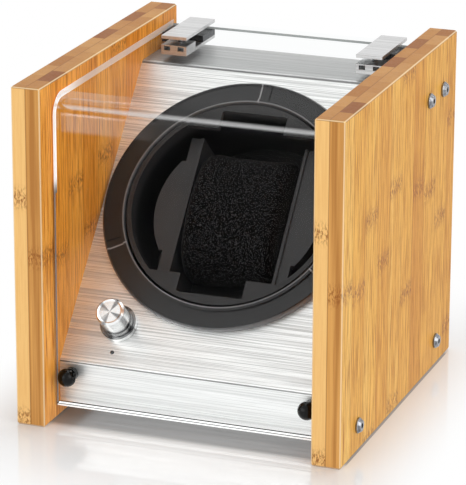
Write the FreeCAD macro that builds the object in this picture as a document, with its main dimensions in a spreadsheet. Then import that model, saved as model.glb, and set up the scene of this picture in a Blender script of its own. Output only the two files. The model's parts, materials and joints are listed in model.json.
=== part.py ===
import FreeCAD, Part
import math
import os
import re
import Sketcher

# Watch winder box: two bamboo side panels carry a bent aluminium housing with a turntable in its slope,
# and a clear bent cover swings up on two pins at the rear top.
# Millimetres. +Z is up, the front faces -Y, and the origin is at the middle of the floor under the box.

SIZES = [
    ("panel_height", 160, "side panels, which stand on the floor"),
    ("panel_depth", 166, "side panels, front to rear"),
    ("panel_thick", 14, "bamboo board"),
    ("panel_edge", 0.8, "bevel round each panel"),
    ("inner_width", 128, "between the panels"),
    ("skin", 1.5, "aluminium sheet"),
    ("bend_radius", 2.5, "outside of each bend in the sheet"),
    ("floor_gap", 7, "housing above the floor"),
    ("strip_setback", 18, "front strip behind the panels' front edges"),
    ("fold_height", 26.5, "fold between the strip and the slope"),
    ("slope_angle", 48.5, "slope of the front, degrees"),
    ("top_drop", 17, "flat top of the housing below the panels' tops"),
    ("top_height", "=panel_height - top_drop", "flat top of the housing"),
    ("slope_length", "=(top_height - fold_height) / sin(slope_angle)", "slope between its folds"),
    ("rear_setback", 8, "rear wall inside the panels' rear edges"),
    ("frame_thick", 2, "end frame sheet"),
    ("frame_band", 14, "band of an end frame round its window"),
    ("frame_flange", 10, "rear flange of an end frame"),
    ("boss_radius", 4, "tapped boss on an end frame"),
    ("boss_length", 8, "tapped boss on an end frame"),
    ("screw_shank", 2, "panel screw, radius"),
    ("screw_head", 3.6, "panel screw's button head, radius"),
    ("screw_head_rise", 2.2, "panel screw's button head, height"),
    ("screw_socket", 1.3, "hexagon socket, radius"),
    ("head_edge_share", 0.35, "straight edge of a button head, as a share of its height"),
    ("head_flat_share", 0.72, "flat of a button head, as a share of its radius"),
    ("socket_share", 0.4, "floor of a socket, as a share of the head's height"),
    ("low_screw_height", 12.6, "lower panel screws above the floor"),
    ("high_screw_drop", 6.5, "upper panel screws below the flat top"),
    ("low_front_inset", 23.6, "lower front panel screw from the front edge"),
    ("low_rear_inset", 25, "lower rear panel screw from the rear edge"),
    ("high_front_share", 0.066, "upper front panel screw along the flat top, as a share of it"),
    ("high_rear_share", 0.648, "upper rear panel screw along the flat top, as a share of it"),
    ("thread_gap", 0.06, "gap round a screw in its thread"),
    ("hole_gap", 0.25, "gap round a screw in its clearance hole"),
    ("run_gap", 0.03, "gap round a turning shaft in its bush"),
    ("bezel_share", 0.402, "bezel ring's radius, as a share of the slope's length"),
    ("bezel_side", 1.5, "least gap between the bezel ring and a panel"),
    ("bezel_margin", 7.55, "slope above the bezel ring"),
    ("bezel_radius", "=min(slope_length * bezel_share; inner_width / 2 - bezel_side)",
     "outside of the bezel ring"),
    ("table_station", "=slope_length - bezel_radius - bezel_margin",
     "turntable's axis, up the slope from the fold"),
    ("bezel_rise", 4.2, "bezel ring above the slope"),
    ("bezel_rim", 1.6, "raised edge round the bezel ring"),
    ("bezel_dish", 0.5, "flat of the bezel ring below its raised edges"),
    ("bezel_lip", 1.8, "raised lip round the bore"),
    ("bezel_edge_share", 0.7, "foot of the bezel ring's outer bevel, as a share of its rise"),
    ("bezel_band", 10.5, "bezel ring, from its bore to its outside"),
    ("bezel_bore", "=bezel_radius - bezel_band", "bore of the bezel ring and the cup, radius"),
    ("seam_width", 0.7, "each of the three seams in the bezel ring"),
    ("seam_angle", 85, "first seam, degrees"),
    ("bezel_boss", 2.5, "boss behind the bezel ring, radius"),
    ("bezel_boss_inset", 4.5, "bosses behind the bezel ring from its outside"),
    ("bezel_boss_angle", 25, "first boss behind the bezel ring, degrees"),
    ("bezel_screw", 1.2, "bezel screw's shank, radius"),
    ("bezel_screw_head", 2.5, "bezel screw's head, radius"),
    ("bezel_screw_rise", 1.8, "bezel screw's head, height"),
    ("cup_wall", 2, "cup round the drum"),
    ("cup_flange_inset", 1.5, "flange of the cup inside the bezel ring's outside"),
    ("motor_radius", 12, "gearbox of the motor"),
    ("rear_depth",
     "=(panel_depth - strip_setback - rear_setback - skin - table_station * cos(slope_angle)) / sin(slope_angle)",
     "turntable's middle to the rear wall, square to the slope"),
    ("base_depth",
     "=(fold_height + table_station * sin(slope_angle) - floor_gap - skin) / cos(slope_angle)",
     "turntable's middle to the base, square to the slope"),
    ("free_depth", "=min(rear_depth; base_depth - motor_radius)", "room for the drum and its drive"),
    ("cup_share", 0.421, "cup's depth, as a share of that room"),
    ("cup_depth", "=free_depth * cup_share", "cup's floor below the slope"),
    ("drum_gap", 1.3, "running gap round the drum"),
    ("drum_rise", 4, "drum's rim above the slope"),
    ("drum_wall", 2.3, "drum's rim and wall"),
    ("drum_clear", 6, "drum's floor above the cup's floor"),
    ("drum_depth", "=cup_depth - drum_clear", "drum's floor below the slope"),
    ("drum_floor", 2, "drum's floor"),
    ("web_share", 0.7115, "inner edge of each web from the axis, as a share of the bore's radius"),
    ("web_chord", "=bezel_bore * web_share", "inner edge of each web from the axis"),
    ("web_thick", 3, "webs across the drum's mouth"),
    ("notch_share", 0.615, "width of each strap notch, as a share of the bore's radius"),
    ("notch_width", "=bezel_bore * notch_share", "strap notch in each web"),
    ("notch_land", 5.8, "web outside each strap notch"),
    ("hub_radius", 8, "hub under the drum"),
    ("hub_drop", 3, "hub under the drum's floor"),
    ("washer_thick", 0.7, "thrust washer"),
    ("shaft_radius", 3, "turntable shaft"),
    ("bush_wall", 2, "bushes of the turntable shaft"),
    ("bush_flange", 7, "flange of each bush, radius"),
    ("bush_flange_thick", 1.5, "flange of each bush"),
    ("clip_gap", 0.3, "end play under the shaft's clip"),
    ("cradle_width_share", 1.2115, "cradle's width, as a share of the bore's radius"),
    ("cradle_width", "=bezel_bore * cradle_width_share", "cradle over its straight strips"),
    ("cradle_length_share", 1.346, "cradle's length, as a share of the bore's radius"),
    ("cradle_length", "=bezel_bore * cradle_length_share", "cradle along the slope"),
    ("cradle_top", 6, "cradle's shelves below the slope"),
    ("cradle_arc_share", 0.779, "curved edge of each shelf, as a share of the bore's radius"),
    ("cradle_arc", "=bezel_bore * cradle_arc_share", "curved edge of each shelf, radius"),
    ("cradle_reach_share", 0.657, "curved edge of each shelf, as a share of the cradle's length"),
    ("cradle_wall", 2, "moulded walls of the cradle"),
    ("cradle_lip", 1, "lip along each side of the pocket, height"),
    ("cradle_lip_width", 1.5, "lip along each side of the pocket, width"),
    ("pocket_share", 0.7937, "cushion pocket, as a share of the cradle's width"),
    ("pocket_width", "=cradle_width * pocket_share", "cushion pocket"),
    ("cushion_gap", 0.6, "gap on each side of the cushion"),
    ("cushion_seat", 0.3, "gap under the cushion"),
    ("cushion_short", 1, "cushion short of the cradle's length"),
    ("cushion_length", "=cradle_length - cushion_short", "cushion along the slope"),
    ("cushion_crown", 6, "top of the cushion above the slope"),
    ("cushion_strap_share", 0.56, "drawn-in band round the cushion's middle, as a share of the pocket"),
    ("cushion_tuck", 1.2, "depth of the drawn-in band"),
    ("cushion_foot_share", 0.78, "flat seat of the cushion, as a share of its length"),
    ("cushion_bulge_share", 0.45, "height of the cushion's widest place, as a share"),
    ("cushion_shoulder_share", 0.74, "foot of the cushion's crown, as a share of its length"),
    ("cushion_shoulder_rise", 0.88, "foot of the cushion's crown, as a share of its height"),
    ("gear_module", 1, "tooth size of the gears"),
    ("gear_teeth", 48, "drum gear"),
    ("pinion_teeth", 16, "motor pinion"),
    ("gear_width", 5, "face of the gears"),
    ("gear_clear", 2, "gears behind the cup's floor"),
    ("gear_hub", 6, "hub of the drum gear, radius"),
    ("gear_hub_length", 2.4, "hub of the drum gear"),
    ("backlash", 0.2, "play between the teeth"),
    ("pressure_angle", 20, "flanks of the teeth, degrees"),
    ("tooth_root", 1.25, "root below the pitch circle, in modules"),
    ("tooth_flank", 0.6, "foot of the flank below the pitch circle, in modules"),
    ("tooth_tip", 0.9, "tip above the pitch circle, in modules"),
    ("plate_gap", 10, "gear plate behind the cup's floor"),
    ("plate_thick", 2, "gear plate"),
    ("plate_half", 19, "half of the gear plate along the slope"),
    ("plate_reach", 36, "gear plate beyond the shaft"),
    ("plate_reach_motor", 12.4, "gear plate beyond the motor's axis"),
    ("post_radius", 3, "gear plate's posts"),
    ("post_inset", 5, "posts from the gear plate's edges"),
    ("motor_share", 0.183, "gearbox, as a share of the room behind the slope"),
    ("motor_length", "=free_depth * motor_share", "gearbox of the motor"),
    ("can_radius", 10, "motor can"),
    ("can_share", 0.1464, "motor can, as a share of the room behind the slope"),
    ("can_length", "=free_depth * can_share", "motor can"),
    ("motor_boss", 4, "boss on the motor's face, radius"),
    ("motor_shaft", 2, "motor's output shaft, radius"),
    ("motor_bore", 10, "output shaft inside the motor"),
    ("motor_screw_circle", 9, "motor screws from the motor's axis"),
    ("small_shank", 1.25, "small screws, radius"),
    ("small_head", 2.3, "small screws' heads, radius"),
    ("small_head_rise", 1.5, "small screws' heads, height"),
    ("small_grip", 5, "small screws' length in their thread"),
    ("knob_offset", 40, "knob left of the middle"),
    ("knob_station", 21, "knob's axis, up the slope from the fold"),
    ("knob_radius", 6.7, "knob's cap"),
    ("knob_skirt", 7.3, "stepped skirt of the knob, radius"),
    ("knob_skirt_rise", 2.4, "stepped skirt of the knob"),
    ("knob_rise", 16, "knob's face above the slope"),
    ("knob_float", 0.4, "knob above its base ring"),
    ("knob_dish", 0.5, "hollow in the knob's face"),
    ("knob_bevel", 0.8, "bevel round the knob's face"),
    ("ring_radius", 8.6, "base ring under the knob"),
    ("ring_rise", 2.8, "base ring under the knob"),
    ("switch_bush", 4.5, "threaded bush of the switch, radius"),
    ("spindle_radius", 3, "spindle of the switch"),
    ("spindle_rise", 9, "spindle above the slope"),
    ("switch_width", 18, "body of the rotary switch"),
    ("switch_depth", 10, "body of the rotary switch"),
    ("lamp_station", 7.2, "lamp, up the slope from the fold"),
    ("lamp_radius", 0.75, "lamp"),
    ("lamp_rise", 0.2, "lamp above the slope"),
    ("lamp_length", 6, "lamp behind the slope"),
    ("lamp_flange", 1.5, "lamp behind the slope, radius"),
    ("lamp_edge_share", 0.3, "straight edge of the lamp's nose, as a share of its rise"),
    ("lamp_nose_share", 0.6, "flat of the lamp's nose, as a share of its radius"),
    ("bumper_radius", 4.3, "rubber studs on the cover, radius of their domes"),
    ("bumper_stem", 2, "stem of a stud through the cover, radius"),
    ("bumper_heel", 3.2, "heel of a stud behind the cover, radius"),
    ("bumper_inset", 6, "studs from the panels"),
    ("bumper_height", 21, "studs above the floor"),
    ("bumper_gap", 0.3, "heels of the studs short of the front strip"),
    ("cover_thick", 3, "clear sheet"),
    ("cover_setback", 12, "cover's front behind the panels' front edges"),
    ("cover_drop", 6, "cover's top below the panels' tops"),
    ("cover_rear", 7.5, "cover's rear edge inside the panels' rear edges"),
    ("cover_foot", 7, "cover's lower edge above the floor"),
    ("cover_side", 1, "gap between the cover and each panel"),
    ("cover_bend", 10, "outside of the cover's bend"),
    ("clamp_inset", 9, "clamp plates from the panel"),
    ("clamp_width", 12.8, "clamp plates"),
    ("clamp_length", 38, "clamp plates"),
    ("clamp_thick", 1.5, "clamp plates"),
    ("clamp_rear", 5.6, "clamp plates inside the panels' rear edges"),
    ("clamp_gap", 3.1, "between the cover and the lower clamp plate"),
    ("clamp_screw_inset", 9, "clamp screws from the plates' ends"),
    ("clamp_screw_head", 2.75, "clamp screws' heads, radius"),
    ("clamp_screw_rise", 1.3, "clamp screws' heads, height"),
    ("clamp_bite", 1, "clamp screws in the upper plates"),
    ("spacer_length", 12, "spacer blocks under the cover"),
    ("spacer_window", 3.1, "width of each window in a spacer block"),
    ("spacer_rib", 0.5, "spacer block above and below its windows"),
    ("spacer_post", 1.4, "outer posts of a spacer block"),
    ("lug_length", 16, "lug that carries the pin"),
    ("lug_side", 0.8, "gap between the lug and the panel"),
    ("pin_inset", 10, "cover's pins from the panels' rear edges"),
    ("pin_drop", 2, "cover's pins below the cover's sheet"),
    ("pin_radius", 1.5, "cover's pins"),
    ("pin_grip", 6, "pin in its lug"),
    ("pin_reach", 8, "pin in its bush"),
    ("pin_bush", 3, "bush in the panel, radius"),
    ("board_width", 50, "control board"),
    ("board_depth", 40, "control board"),
    ("board_thick", 1.6, "control board"),
    ("board_rise", 6, "control board above the base"),
    ("board_side", 14, "control board from the left panel"),
    ("board_rear", 10, "control board from the rear wall"),
    ("board_hole_inset", 4, "control board's screws from its edges"),
    ("chip_size", 9, "chip on the control board"),
    ("chip_rise", 2, "chip on the control board"),
    ("plug_width", 12, "wire socket on the control board"),
    ("plug_rise", 6, "wire socket on the control board"),
    ("jack_offset", 36, "power inlet left of the middle"),
    ("jack_height", 38, "power inlet above the floor"),
    ("jack_radius", 4, "power inlet's body"),
    ("jack_collar", 5.6, "power inlet's collar, radius"),
    ("jack_collar_thick", 2, "power inlet's collar"),
    ("jack_length", 13, "power inlet behind its collar"),
    ("jack_bore", 2.75, "power inlet's mouth, radius"),
    ("jack_bore_depth", 9.5, "power inlet's mouth"),
    ("jack_pin", 1, "power inlet's centre pin, radius"),
    ("nut_radius", 6.3, "power inlet's nut, over its corners"),
    ("nut_thick", 2.5, "power inlet's nut"),
]

ALIASES = {alias for alias, value, note in SIZES}
doc = FreeCAD.newDocument("watch_winder")
sheet = doc.addObject("Spreadsheet::Sheet", "Sizes")
for row, (alias, value, note) in enumerate(SIZES, start=1):
    sheet.set(f"A{row}", note)
    sheet.setAlias(f"B{row}", alias)
    sheet.set(f"B{row}", str(value))
doc.recompute()

# Places that several pieces share, worked out from the driving dimensions
FRONT = "(-panel_depth / 2)"
REAR = "(panel_depth / 2)"
INSIDE = "(inner_width / 2)"
STRIP = f"({FRONT} + strip_setback)"
BACK = f"({REAR} - rear_setback)"
FOLD = f"({STRIP} + (top_height - fold_height) / tan(slope_angle))"
STRIP_IN = f"({STRIP} + skin)"
BACK_IN = f"({BACK} - skin)"
BASE_IN = "(floor_gap + skin)"
TOP_IN = "(top_height - skin)"
LOW_FOLD_IN = "(fold_height - skin * (1 - sin(slope_angle)) / cos(slope_angle))"
HIGH_FOLD_IN = f"({FOLD} + skin * (1 - cos(slope_angle)) / sin(slope_angle))"
CUP_TOP = "(-skin)"
CUP_FLANGE = "(bezel_radius - cup_flange_inset)"
CUP_FLOOR = "(-cup_depth)"
CUP_BACK = "(-cup_depth - cup_wall)"
DRUM_RADIUS = "(bezel_bore - drum_gap)"
DRUM_INSIDE = f"({DRUM_RADIUS} - drum_wall)"
NOTCH_END = "(bezel_bore - notch_land)"
DRUM_FLOOR = "(-drum_depth)"
DRUM_BACK = "(-drum_depth - drum_floor)"
HUB_BACK = f"({DRUM_BACK} - hub_drop)"
GEAR_FRONT = f"({CUP_BACK} - gear_clear)"
GEAR_BACK = f"({GEAR_FRONT} - gear_width)"
PLATE_FRONT = f"({CUP_BACK} - plate_gap)"
PLATE_BACK = f"({PLATE_FRONT} - plate_thick)"
GEAR_SPAN = "(gear_module * (gear_teeth + pinion_teeth) / 2 + backlash / 2)"
BUSH_RADIUS = "(shaft_radius + bush_wall)"
POCKET_FLOOR = f"({DRUM_FLOOR} + cradle_wall)"
COVER_TOP = "(panel_height - cover_drop)"
COVER_UNDER = f"({COVER_TOP} - cover_thick)"
COVER_FACE = f"({FRONT} + cover_setback)"
COVER_IN = f"({COVER_FACE} + cover_thick)"
CLAMP_LOW_TOP = f"({COVER_UNDER} - clamp_gap)"
CLAMP_LOW = f"({CLAMP_LOW_TOP} - clamp_thick)"
CLAMP_REAR = f"({REAR} - clamp_rear)"
CLAMP_FRONT = f"({CLAMP_REAR} - clamp_length)"
PIN_Y = f"({REAR} - pin_inset)"
PIN_Z = f"({COVER_UNDER} - pin_drop)"
BOARD_LOW = f"({BASE_IN} + board_rise)"
BOARD_TOP = f"({BOARD_LOW} + board_thick)"
BOARD_REAR = f"({BACK_IN} - board_rear)"

LEFT, RIGHT = -1, 1
SIDES = (("left", LEFT), ("right", RIGHT))
SEAMS = 3
SAME_PLACE = 1e-4
X_AXIS = FreeCAD.Vector(1, 0, 0)
Y_AXIS = FreeCAD.Vector(0, 1, 0)
Z_AXIS = FreeCAD.Vector(0, 0, 1)

nodes = []


def bound(text):
    """Turn a formula in plain size names into one that the document reads."""
    def spelt(word):
        return "Sizes." + word.group() if word.group() in ALIASES else word.group()
    return re.sub(r"[a-z_]+", spelt, str(text))


def number(text):
    """The present value of a formula."""
    return float(sheet.evalExpression(bound(text)))


def bind(thing, **sizes):
    for name, text in sizes.items():
        thing.setExpression(name, bound(text))
    return thing


def place(thing, x="0", y="0", z="0", axis=None, angle="0"):
    """Put an object at a formula's place, turned about one axis."""
    if axis is not None:
        turn = FreeCAD.Rotation(axis, number(angle))
        thing.Placement = FreeCAD.Placement(FreeCAD.Vector(0, 0, 0), turn)
        thing.setExpression("Placement.Rotation.Angle", bound(angle))
    for name, text in (("x", x), ("y", y), ("z", z)):
        thing.setExpression(f"Placement.Base.{name}", bound(text))
    return thing


def on_slope(thing, x="0", station="table_station"):
    """Stand a finished shape on the slope: its own X across, Y up the slope and Z out of it."""
    y = f"{STRIP} + {station} * cos(slope_angle)"
    z = f"fold_height + {station} * sin(slope_angle)"
    return place(thing, x, y, z, X_AXIS, "slope_angle")


def node(thing, label):
    """Name a finished piece and keep it."""
    thing.Label = label
    nodes.append(thing)
    return thing


def box(low, high):
    """A block between two corners, each given as three formulas."""
    block = doc.addObject("Part::Box", "Block")
    spans = [f"({b}) - ({a})" for a, b in zip(low, high)]
    bind(block, Length=spans[0], Width=spans[1], Height=spans[2])
    return place(block, *low)


def rod(radius, low, high, x="0", y="0"):
    """A cylinder along Z."""
    cylinder = doc.addObject("Part::Cylinder", "Rod")
    bind(cylinder, Radius=radius, Height=f"({high}) - ({low})")
    return place(cylinder, x, y, low)


def rod_x(radius, low, high, y, z):
    """A cylinder along X."""
    cylinder = doc.addObject("Part::Cylinder", "RodX")
    bind(cylinder, Radius=radius, Height=f"({high}) - ({low})")
    return place(cylinder, low, y, z, Y_AXIS, "90")


def rod_y(radius, low, high, x, z):
    """A cylinder along Y."""
    cylinder = doc.addObject("Part::Cylinder", "RodY")
    bind(cylinder, Radius=radius, Height=f"({high}) - ({low})")
    return place(cylinder, x, low, z, X_AXIS, "-90")


def fuse(*things):
    joined = doc.addObject("Part::MultiFuse", "Fused")
    joined.Shapes = list(things)
    joined.Refine = True
    return joined


def common(first, second):
    shared = doc.addObject("Part::Common", "Shared")
    shared.Base = first
    shared.Tool = second
    return shared


def cut(base, *tools):
    left = doc.addObject("Part::Cut", "Cut")
    left.Base = base
    left.Tool = tools[0] if len(tools) == 1 else fuse(*tools)
    left.Refine = True
    return left


def group(*things):
    """Several separate solids in one piece, such as a set of screws."""
    together = doc.addObject("Part::Compound", "Group")
    together.Links = list(things)
    return together


def sketch(body, role, points):
    """A closed outline whose corners all follow formulas."""
    plane = next(p for p in body.Origin.OriginFeatures if p.Role == role)
    drawing = body.newObject("Sketcher::SketchObject", "Outline")
    drawing.AttachmentSupport = [(plane, "")]
    drawing.MapMode = "FlatFace"
    corners = [FreeCAD.Vector(number(a), number(b), 0) for a, b in points]
    count = len(corners)
    for i in range(count):
        drawing.addGeometry(Part.LineSegment(corners[i], corners[(i + 1) % count]), False)
    for i in range(count):
        drawing.addConstraint(Sketcher.Constraint("Coincident", i, 2, (i + 1) % count, 1))
    for i, (across, up) in enumerate(points):
        for kind, text in (("DistanceX", across), ("DistanceY", up)):
            index = drawing.addConstraint(Sketcher.Constraint(kind, -1, 1, i, 1, number(text)))
            drawing.setExpression(f"Constraints[{index}]", bound(text))
    return drawing


def bent_sheet(points, start, length, bends=()):
    """An outline in the YZ plane drawn out along X, with rounded bends given as (y, z, radius)."""
    body = doc.addObject("PartDesign::Body", "Sheet")
    pad = body.newObject("PartDesign::Pad", "Pad")
    pad.Profile = sketch(body, "YZ_Plane", points)
    pad.Length = number(length)
    bind(pad, Length=length)
    body.Tip = pad
    place(body, start)
    doc.recompute()
    last = pad
    for y, z, radius in bends:
        corner = FreeCAD.Vector(0, number(y), number(z))
        names = [f"Edge{i}" for i, edge in enumerate(last.Shape.Edges, start=1)
                 if all(math.hypot(v.Y - corner.y, v.Z - corner.z) < SAME_PLACE for v in edge.Vertexes)]
        rounded = body.newObject("PartDesign::Fillet", "Bend")
        rounded.Base = (last, names)
        rounded.Radius = number(radius)
        bind(rounded, Radius=radius)
        body.Tip = rounded
        doc.recompute()
        last = rounded
    return body


def turned(points):
    """An outline of (radius, height) corners turned about Z."""
    body = doc.addObject("PartDesign::Body", "Turned")
    drawing = sketch(body, "XZ_Plane", points)
    turn = body.newObject("PartDesign::Revolution", "Turn")
    turn.Profile = drawing
    turn.ReferenceAxis = (drawing, ["V_Axis"])
    turn.Angle = 360
    body.Tip = turn
    return body


def ring(outer, inner, low, high):
    return turned([(inner, low), (outer, low), (outer, high), (inner, high)])


def headed_screw(shank, head, rise, length, x="0", y="0", seat="0"):
    """A screw along Z whose head stands above its seat and whose shank goes down."""
    return fuse(rod(shank, f"({seat}) - ({length})", seat, x, y),
                rod(head, seat, f"({seat}) + ({rise})", x, y))


# Side panels

PANEL_SCREWS = [
    (f"{FRONT} + low_front_inset", "low_screw_height"),
    (f"{REAR} - low_rear_inset", "low_screw_height"),
    (f"{FOLD} + ({BACK} - {FOLD}) * high_front_share", "top_height - high_screw_drop"),
    (f"{FOLD} + ({BACK} - {FOLD}) * high_rear_share", "top_height - high_screw_drop"),
]


def side_panel(side):
    """A bevelled bamboo board with four screw holes and a blind hole for the cover's bush."""
    start = INSIDE if side == RIGHT else f"-{INSIDE} - panel_thick"
    board = doc.addObject("PartDesign::Body", "Board")
    pad = board.newObject("PartDesign::Pad", "Pad")
    pad.Profile = sketch(board, "YZ_Plane", [(FRONT, "0"), (REAR, "0"), (REAR, "panel_height"),
                                             (FRONT, "panel_height")])
    bind(pad, Length="panel_thick")
    doc.recompute()
    bevel = board.newObject("PartDesign::Chamfer", "Bevel")
    bevel.Base = (pad, [f"Edge{i}" for i in range(1, len(pad.Shape.Edges) + 1)])
    bind(bevel, Size="panel_edge")
    board.Tip = bevel
    place(board, start)
    holes = [rod_x("screw_shank + hole_gap", start, f"{start} + panel_thick", y, z) for y, z in PANEL_SCREWS]
    inner = INSIDE if side == RIGHT else f"-{INSIDE} - pin_reach - pin_radius"
    holes.append(rod_x("pin_bush", inner, f"{inner} + pin_reach + pin_radius", PIN_Y, PIN_Z))
    return cut(board, *holes)


def panel_screw(side, y, z):
    """A button-head screw through a panel into a boss of the end frame."""
    face = f"({INSIDE} + panel_thick)"
    shank = rod("screw_shank", "-panel_thick - boss_length", "0")
    button = turned([("0", "0"), ("screw_head", "0"), ("screw_head", "screw_head_rise * head_edge_share"),
                     ("screw_head * head_flat_share", "screw_head_rise"), ("0", "screw_head_rise")])
    socket = doc.addObject("Part::Prism", "Socket")
    bind(socket, Circumradius="screw_socket", Height="screw_head_rise")
    place(socket, "0", "0", "screw_head_rise * socket_share")
    screw = cut(fuse(shank, button), socket)
    return place(screw, face if side == RIGHT else f"-{face}", y, z, Y_AXIS, "90" if side == RIGHT else "-90")


for name, side in SIDES:
    node(side_panel(side), f"{name}_side_panel")
node(group(*[panel_screw(side, y, z) for name, side in SIDES for y, z in PANEL_SCREWS]), "panel_screws")

# Housing sheets and end frames

SHELL = [(STRIP, "floor_gap"), (STRIP, "fold_height"), (FOLD, "top_height"), (BACK, "top_height"),
         (BACK, TOP_IN), (HIGH_FOLD_IN, TOP_IN), (STRIP_IN, LOW_FOLD_IN), (STRIP_IN, "floor_gap")]
# One boss behind each length of the ring between two seams
BEZEL_BOSS_ANGLES = [f"(bezel_boss_angle + {i} * 360 / {SEAMS})" for i in range(SEAMS)]
BOSS_CIRCLE = "(bezel_radius - bezel_boss_inset)"


def boss_place(angle):
    return (f"{BOSS_CIRCLE} * cos({angle})", f"{BOSS_CIRCLE} * sin({angle})")


def front_fascia():
    """The bent front sheet with its holes for the bezel, knob and lamp."""
    shell = bent_sheet(SHELL, f"-{INSIDE}", "inner_width",
                       [(STRIP, "fold_height", "bend_radius"), (FOLD, "top_height", "bend_radius"),
                        (STRIP_IN, LOW_FOLD_IN, "bend_radius - skin"),
                        (HIGH_FOLD_IN, TOP_IN, "bend_radius - skin")])
    through = [rod("bezel_bore + cup_wall + hole_gap", "-skin * 2", "skin")]
    through += [rod("bezel_boss + hole_gap", "-skin * 2", "skin", *boss_place(a)) for a in BEZEL_BOSS_ANGLES]
    openings = [on_slope(fuse(*through))]
    openings.append(on_slope(slope_hole("switch_bush + hole_gap"), "-knob_offset", "knob_station"))
    openings.append(on_slope(slope_hole("lamp_radius + hole_gap"), "-knob_offset", "lamp_station"))
    return cut(shell, *openings)


def slope_hole(radius):
    """A plug that cuts straight through the slope, to be set there by on_slope."""
    return group(rod(radius, "-skin * 2", "skin"))


def rear_cover():
    """The bent base and rear sheet, with the power inlet's hole."""
    low_bend = [(BACK, "floor_gap", "bend_radius"), (BACK_IN, BASE_IN, "bend_radius - skin")]
    shell = bent_sheet([(STRIP_IN, "floor_gap"), (BACK, "floor_gap"), (BACK, TOP_IN), (BACK_IN, TOP_IN),
                        (BACK_IN, BASE_IN), (STRIP_IN, BASE_IN)], f"-{INSIDE}", "inner_width", low_bend)
    span = (f"{BACK} - skin * 2", f"{BACK} + skin")
    inlet = rod_y("jack_radius + hole_gap", *span, "-jack_offset", "jack_height")
    fixing = [rod_y("small_shank + hole_gap", *span, x, z) for x, z in REAR_SCREWS]
    return cut(shell, inlet, *fixing)


FLANGE_X = "(inner_width / 2 - frame_thick - frame_flange / 2)"
FLANGE_LOW = f"({BASE_IN} + frame_band)"
FLANGE_HIGH = f"({TOP_IN} - frame_band * 2)"
REAR_SCREWS = [(f"{sign}{FLANGE_X}", z) for sign in ("-", "")
               for z in (f"{FLANGE_LOW} + frame_flange", f"{FLANGE_HIGH} - frame_flange")]


def end_frame(side):
    """A windowed sheet-steel end with a rear flange and four tapped bosses."""
    start = f"{INSIDE} - frame_thick" if side == RIGHT else f"-{INSIDE}"
    relief = "bend_radius"
    outline = [(f"{STRIP_IN}", BASE_IN), (STRIP_IN, f"{LOW_FOLD_IN} - {relief}"),
               (f"{STRIP_IN} + {relief} * cos(slope_angle)", f"{LOW_FOLD_IN} + {relief} * sin(slope_angle)"),
               (f"{HIGH_FOLD_IN} - {relief} * cos(slope_angle)", f"{TOP_IN} - {relief} * sin(slope_angle)"),
               (f"{HIGH_FOLD_IN} + {relief}", TOP_IN), (BACK_IN, TOP_IN),
               (BACK_IN, f"{BASE_IN} + {relief}"), (f"{BACK_IN} - {relief}", BASE_IN)]
    window = [(f"{STRIP_IN} + frame_band * 2", f"{BASE_IN} + frame_band"),
              (f"{FOLD} + frame_band", f"{TOP_IN} - frame_band"),
              (f"{BACK_IN} - frame_band", f"{TOP_IN} - frame_band"),
              (f"{BACK_IN} - frame_band", f"{BASE_IN} + frame_band")]
    plate = cut(bent_sheet(outline, start, "frame_thick"), bent_sheet(window, start, "frame_thick"))
    inner = f"{INSIDE} - frame_thick - boss_length" if side == RIGHT else f"-{INSIDE} + frame_thick"
    bosses = [rod_x("boss_radius", inner, f"{inner} + boss_length", y, z) for y, z in PANEL_SCREWS]
    flange_start = f"{INSIDE} - frame_thick - frame_flange" if side == RIGHT else f"-{INSIDE}"
    flange = box((flange_start, f"{BACK_IN} - frame_thick", FLANGE_LOW),
                 (f"{flange_start} + frame_flange + frame_thick", BACK_IN, FLANGE_HIGH))
    threads = [rod_x("screw_shank + thread_gap", f"{inner} - frame_thick",
                     f"{inner} + boss_length + frame_thick * 2", y, z) for y, z in PANEL_SCREWS]
    threads += [rod_y("small_shank + thread_gap", f"{BACK_IN} - frame_thick * 2", BACK, x, z)
                for x, z in REAR_SCREWS]
    return cut(fuse(plate, flange, *bosses), *threads)


def rear_screw(x, z):
    screw = headed_screw("small_shank", "small_head", "small_head_rise", "skin + frame_thick")
    return place(screw, x, BACK, z, X_AXIS, "-90")


node(front_fascia(), "front_fascia")
node(rear_cover(), "rear_cover")
for name, side in SIDES:
    node(end_frame(side), f"{name}_end_frame")
node(group(*[rear_screw(x, z) for x, z in REAR_SCREWS]), "rear_screws")

# Rubber studs of the cover, lamp and power inlet


def bumper_x(side):
    return f"({INSIDE} - bumper_inset)" if side == RIGHT else f"(-{INSIDE} + bumper_inset)"


def bumper(side):
    """A rubber stud through the cover: a dome to lift it by, a stem, and a heel that meets the strip."""
    dome = doc.addObject("Part::Sphere", "Dome")
    dome.Angle1 = 0
    bind(dome, Radius="bumper_radius")
    heel = f"(cover_thick + {STRIP} - {COVER_IN} - bumper_gap)"
    stud = fuse(dome, rod("bumper_stem", "-cover_thick", "0"), rod("bumper_heel", f"-{heel}", "-cover_thick"))
    return place(stud, bumper_x(side), COVER_FACE, "bumper_height", X_AXIS, "90")


def lamp():
    """A small lamp with a rounded nose in the slope."""
    body = turned([("0", "-lamp_length"), ("lamp_flange", "-lamp_length"), ("lamp_flange", "-skin"),
                   ("lamp_radius", "-skin"), ("lamp_radius", "lamp_rise * lamp_edge_share"),
                   ("lamp_radius * lamp_nose_share", "lamp_rise"), ("0", "lamp_rise")])
    return on_slope(body, "-knob_offset", "lamp_station")


def power_jack():
    """A round inlet with its collar outside, its mouth and its centre pin."""
    body = fuse(rod("jack_radius", "-jack_length", "0"), rod("jack_collar", "0", "jack_collar_thick"))
    mouth = rod("jack_bore", "jack_collar_thick - jack_bore_depth", "jack_collar_thick")
    pin = rod("jack_pin", "-jack_bore_depth", "0")
    jack = fuse(cut(body, mouth), pin)
    return place(jack, "-jack_offset", BACK, "jack_height", X_AXIS, "-90")


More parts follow.
